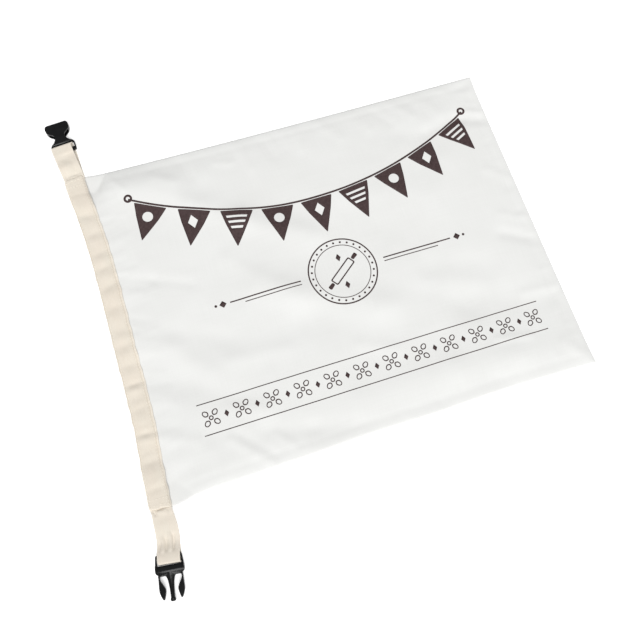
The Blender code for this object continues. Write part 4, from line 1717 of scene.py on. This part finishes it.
@dataclass
class Studio:
    """Camera, floor and light."""

    plan: Plan
    eye: tuple = (96.6 * MM, -75.0 * MM, 705.4 * MM)
    tilt: float = math.radians(17.4)
    heading: float = math.radians(-27.14)
    roll: float = math.radians(9.31)
    lens: float = 43.72
    sensor: float = 36.0
    floor_size: float = 6.0
    key: float = 2.85
    top: float = 0.12
    fill: float = 0.45

    def camera(self) -> None:
        """Set the camera above the bag, tilted and rolled as the photograph was taken."""
        data = bpy.data.cameras.new("camera")
        data.lens = self.lens
        data.sensor_width = self.sensor
        data.clip_start = 0.01
        data.clip_end = 20.0
        camera = bpy.data.objects.new("camera", data)
        bpy.context.scene.collection.objects.link(camera)
        turn = (Matrix.Rotation(self.heading, 4, "Z") @ Matrix.Rotation(self.tilt, 4, "X")
                @ Matrix.Rotation(self.roll, 4, "Z"))
        camera.matrix_world = Matrix.Translation(self.plan.origin + Vector(self.eye)) @ turn
        bpy.context.scene.camera = camera

    def floor(self) -> None:
        """Lay a white floor under the bag."""
        mesh = bpy.data.meshes.new("floor")
        half = self.floor_size / 2
        corners = [(-half, -half, 0.0), (half, -half, 0.0), (half, half, 0.0), (-half, half, 0.0)]
        mesh.from_pydata(corners, [], [(0, 1, 2, 3)])
        add_piece("floor", mesh, FloorFinish().build())

    def lamp(self, name: str, side: float, height: float, spread: float, strength: float) -> None:
        """Shine a wide soft light on the bag from far away, even over the whole floor.

        Args:
            name: Name of the light.
            side: Compass direction that it comes from, in degrees from +X towards +Y.
            height: Its height above the floor, in degrees.
            spread: How wide it looks from the bag, in degrees.
            strength: Its power on each square metre, in watts.
        """
        data = bpy.data.lights.new(name, "SUN")
        data.angle = math.radians(spread)
        data.energy = strength
        light = bpy.data.objects.new(name, data)
        light.rotation_euler = Euler((0.0, math.radians(90 - height), math.radians(side)))
        bpy.context.scene.collection.objects.link(light)

    def build(self) -> None:
        """Set up the studio."""
        self.camera()
        self.floor()
        self.lamp("key_light", -100.0, 50.0, 40.0, self.key)
        self.lamp("top_light", 90.0, 85.0, 60.0, self.top)
        world = bpy.data.worlds.new("studio")
        world.use_nodes = True
        back = world.node_tree.nodes["Background"]
        back.inputs["Color"].default_value = (1.0, 1.0, 1.0, 1.0)
        back.inputs["Strength"].default_value = self.fill
        bpy.context.scene.world = world
        bpy.context.scene.view_settings.view_transform = "Standard"


def build_straps(plan: Plan, material: bpy.types.Material) -> dict[Half, StrapLoop]:
    """Return both strap loops, ready to build.

    Args:
        plan: The bag's plan.
        material: The webbing's material.

    Returns:
        The loops by the buckle half that they carry.
    """
    socket = StrapLoop(
        plan, Half.SOCKET, material, x=11.2 * MM, y=plan.width + 1.6 * MM, facing=0.0,
        lean_start=math.radians(7.5), lean_end=math.radians(4.5), rear=30.0 * MM, fold=39.4 * MM,
        height=4.0 * MM, bar=2.8 * MM, buckle_shift=(1.9 * MM, 0.3 * MM),
        upper_drift=Edge((-14, 0.0), (8, 0.0), (24, -0.3), (32, -0.5), (41, -0.5)),
        lower_drift=Edge((-14, 0.0), (4, 0.4), (16, 1.2), (27, 1.8), (34, 1.6), (41, 1.5)),
        narrowing=Edge((-14, 4.0), (-6, 4.0), (-3, 1.2), (0, 0.2), (8, 0.0), (41, 0.0)),
        tape_end=-1.6 * MM, climb_start=1 * MM, climb_end=16 * MM,
        puckers=((0.6, 0.08, 1.9, 0.75), (4.0, -0.10, 1.6, -0.3), (12.0, -0.15, 5.5, 0.6),
                 (23.0, 0.25, 6.0, -1.3)),
        dents=((-2.0, -0.10, 2.0, 24.0, 2.6, 0.35), (4.5, -0.05, 4.0, 22.0, 2.4, -0.3),
               (-7.0, 0.10, -2.5, 7.0, 1.2, -0.5), (1.0, 0.25, -2.5, 7.0, 1.1, -0.45),
               (5.5, -0.2, -2.5, 6.0, 0.9, -0.4)))
    plug = StrapLoop(
        plan, Half.PLUG, material, x=10.5 * MM, y=-3.0 * MM, facing=math.pi,
        lean_start=math.radians(-1.0), lean_end=math.radians(-9.5), rear=36.5 * MM, fold=45.4 * MM,
        height=3.3 * MM, bar=2.4 * MM,
        upper_drift=Edge((-14, 0.0), (4, -0.2), (14, -0.9), (26, -0.8), (36, 0.6), (46, 1.2)),
        lower_drift=Edge((-14, 0.0), (6, -0.2), (18, -0.6), (30, -0.2), (46, 0.3)),
        narrowing=Edge((-14, 4.0), (-7, 4.0), (-4, 1.4), (0, 1.6), (8, 0.6), (18, 0.0), (36, 0.1),
                       (46, 0.7)),
        tape_end=-2.9 * MM, climb_start=27 * MM, climb_end=41 * MM, sag=(27.0, 9.0, 1.9),
        puckers=((-1.9, 0.08, 0.9, -1.4), (1.4, -0.2, 1.8, 0.4), (7.0, 0.12, 2.6, -0.25)),
        dents=((-4.8, 0.06, 19.0, 40.0, 1.4, -1.3), (-1.4, -0.05, 18.0, 40.0, 1.5, 1.0),
               (2.2, -0.04, 21.0, 40.0, 1.2, -1.1), (5.0, 0.0, 20.0, 40.0, 1.2, 0.9),
               (7.4, 0.02, 24.0, 40.0, 1.0, -0.7), (-7.6, 0.25, -5.0, 6.0, 1.1, -0.6),
               (7.4, -0.15, -5.5, 5.0, 1.3, -1.5)),
        buckle_shift=(0.9 * MM, 0.2 * MM), buckle_turn=math.radians(1.4))
    return {Half.SOCKET: socket, Half.PLUG: plug}


def main() -> None:
    """Build the bag, piece by piece, in its studio."""
    logging.basicConfig(level=logging.INFO, format="%(name)s: %(message)s")
    plan = Plan()
    Studio(plan).build()
    bag = Bag(plan)
    bag.build()
    # The mouth tape's material carries painted shade along its two sewn rows.
    tape = MouthTape(plan, WebbingFinish("sewn_cotton_tape", painted_shade_rows=(2.3 * MM, 19.1 * MM)))
    tape.build()
    straps = build_straps(plan, WebbingFinish().build())
    for strap in straps.values():
        strap.build()
    plastic = MouldedFinish().build()
    Socket(material=plastic).build(straps[Half.SOCKET].seat())
    Plug(material=plastic).build(straps[Half.PLUG].seat())
    cream = ThreadFinish("cream_thread", (0.72, 0.66, 0.56), (0.86, 0.81, 0.72))
    Stitching(cream).sew("tape_stitches", tape.stitch_rows(), Slot.WEBBING)
    white = ThreadFinish("white_thread", (0.66, 0.66, 0.64), (0.74, 0.74, 0.72))
    Stitching(white).sew("hem_stitches", [bag.hem_row()], Slot.CLOTH)
    Print(plan).build()


if __name__ == "__main__":
    main()
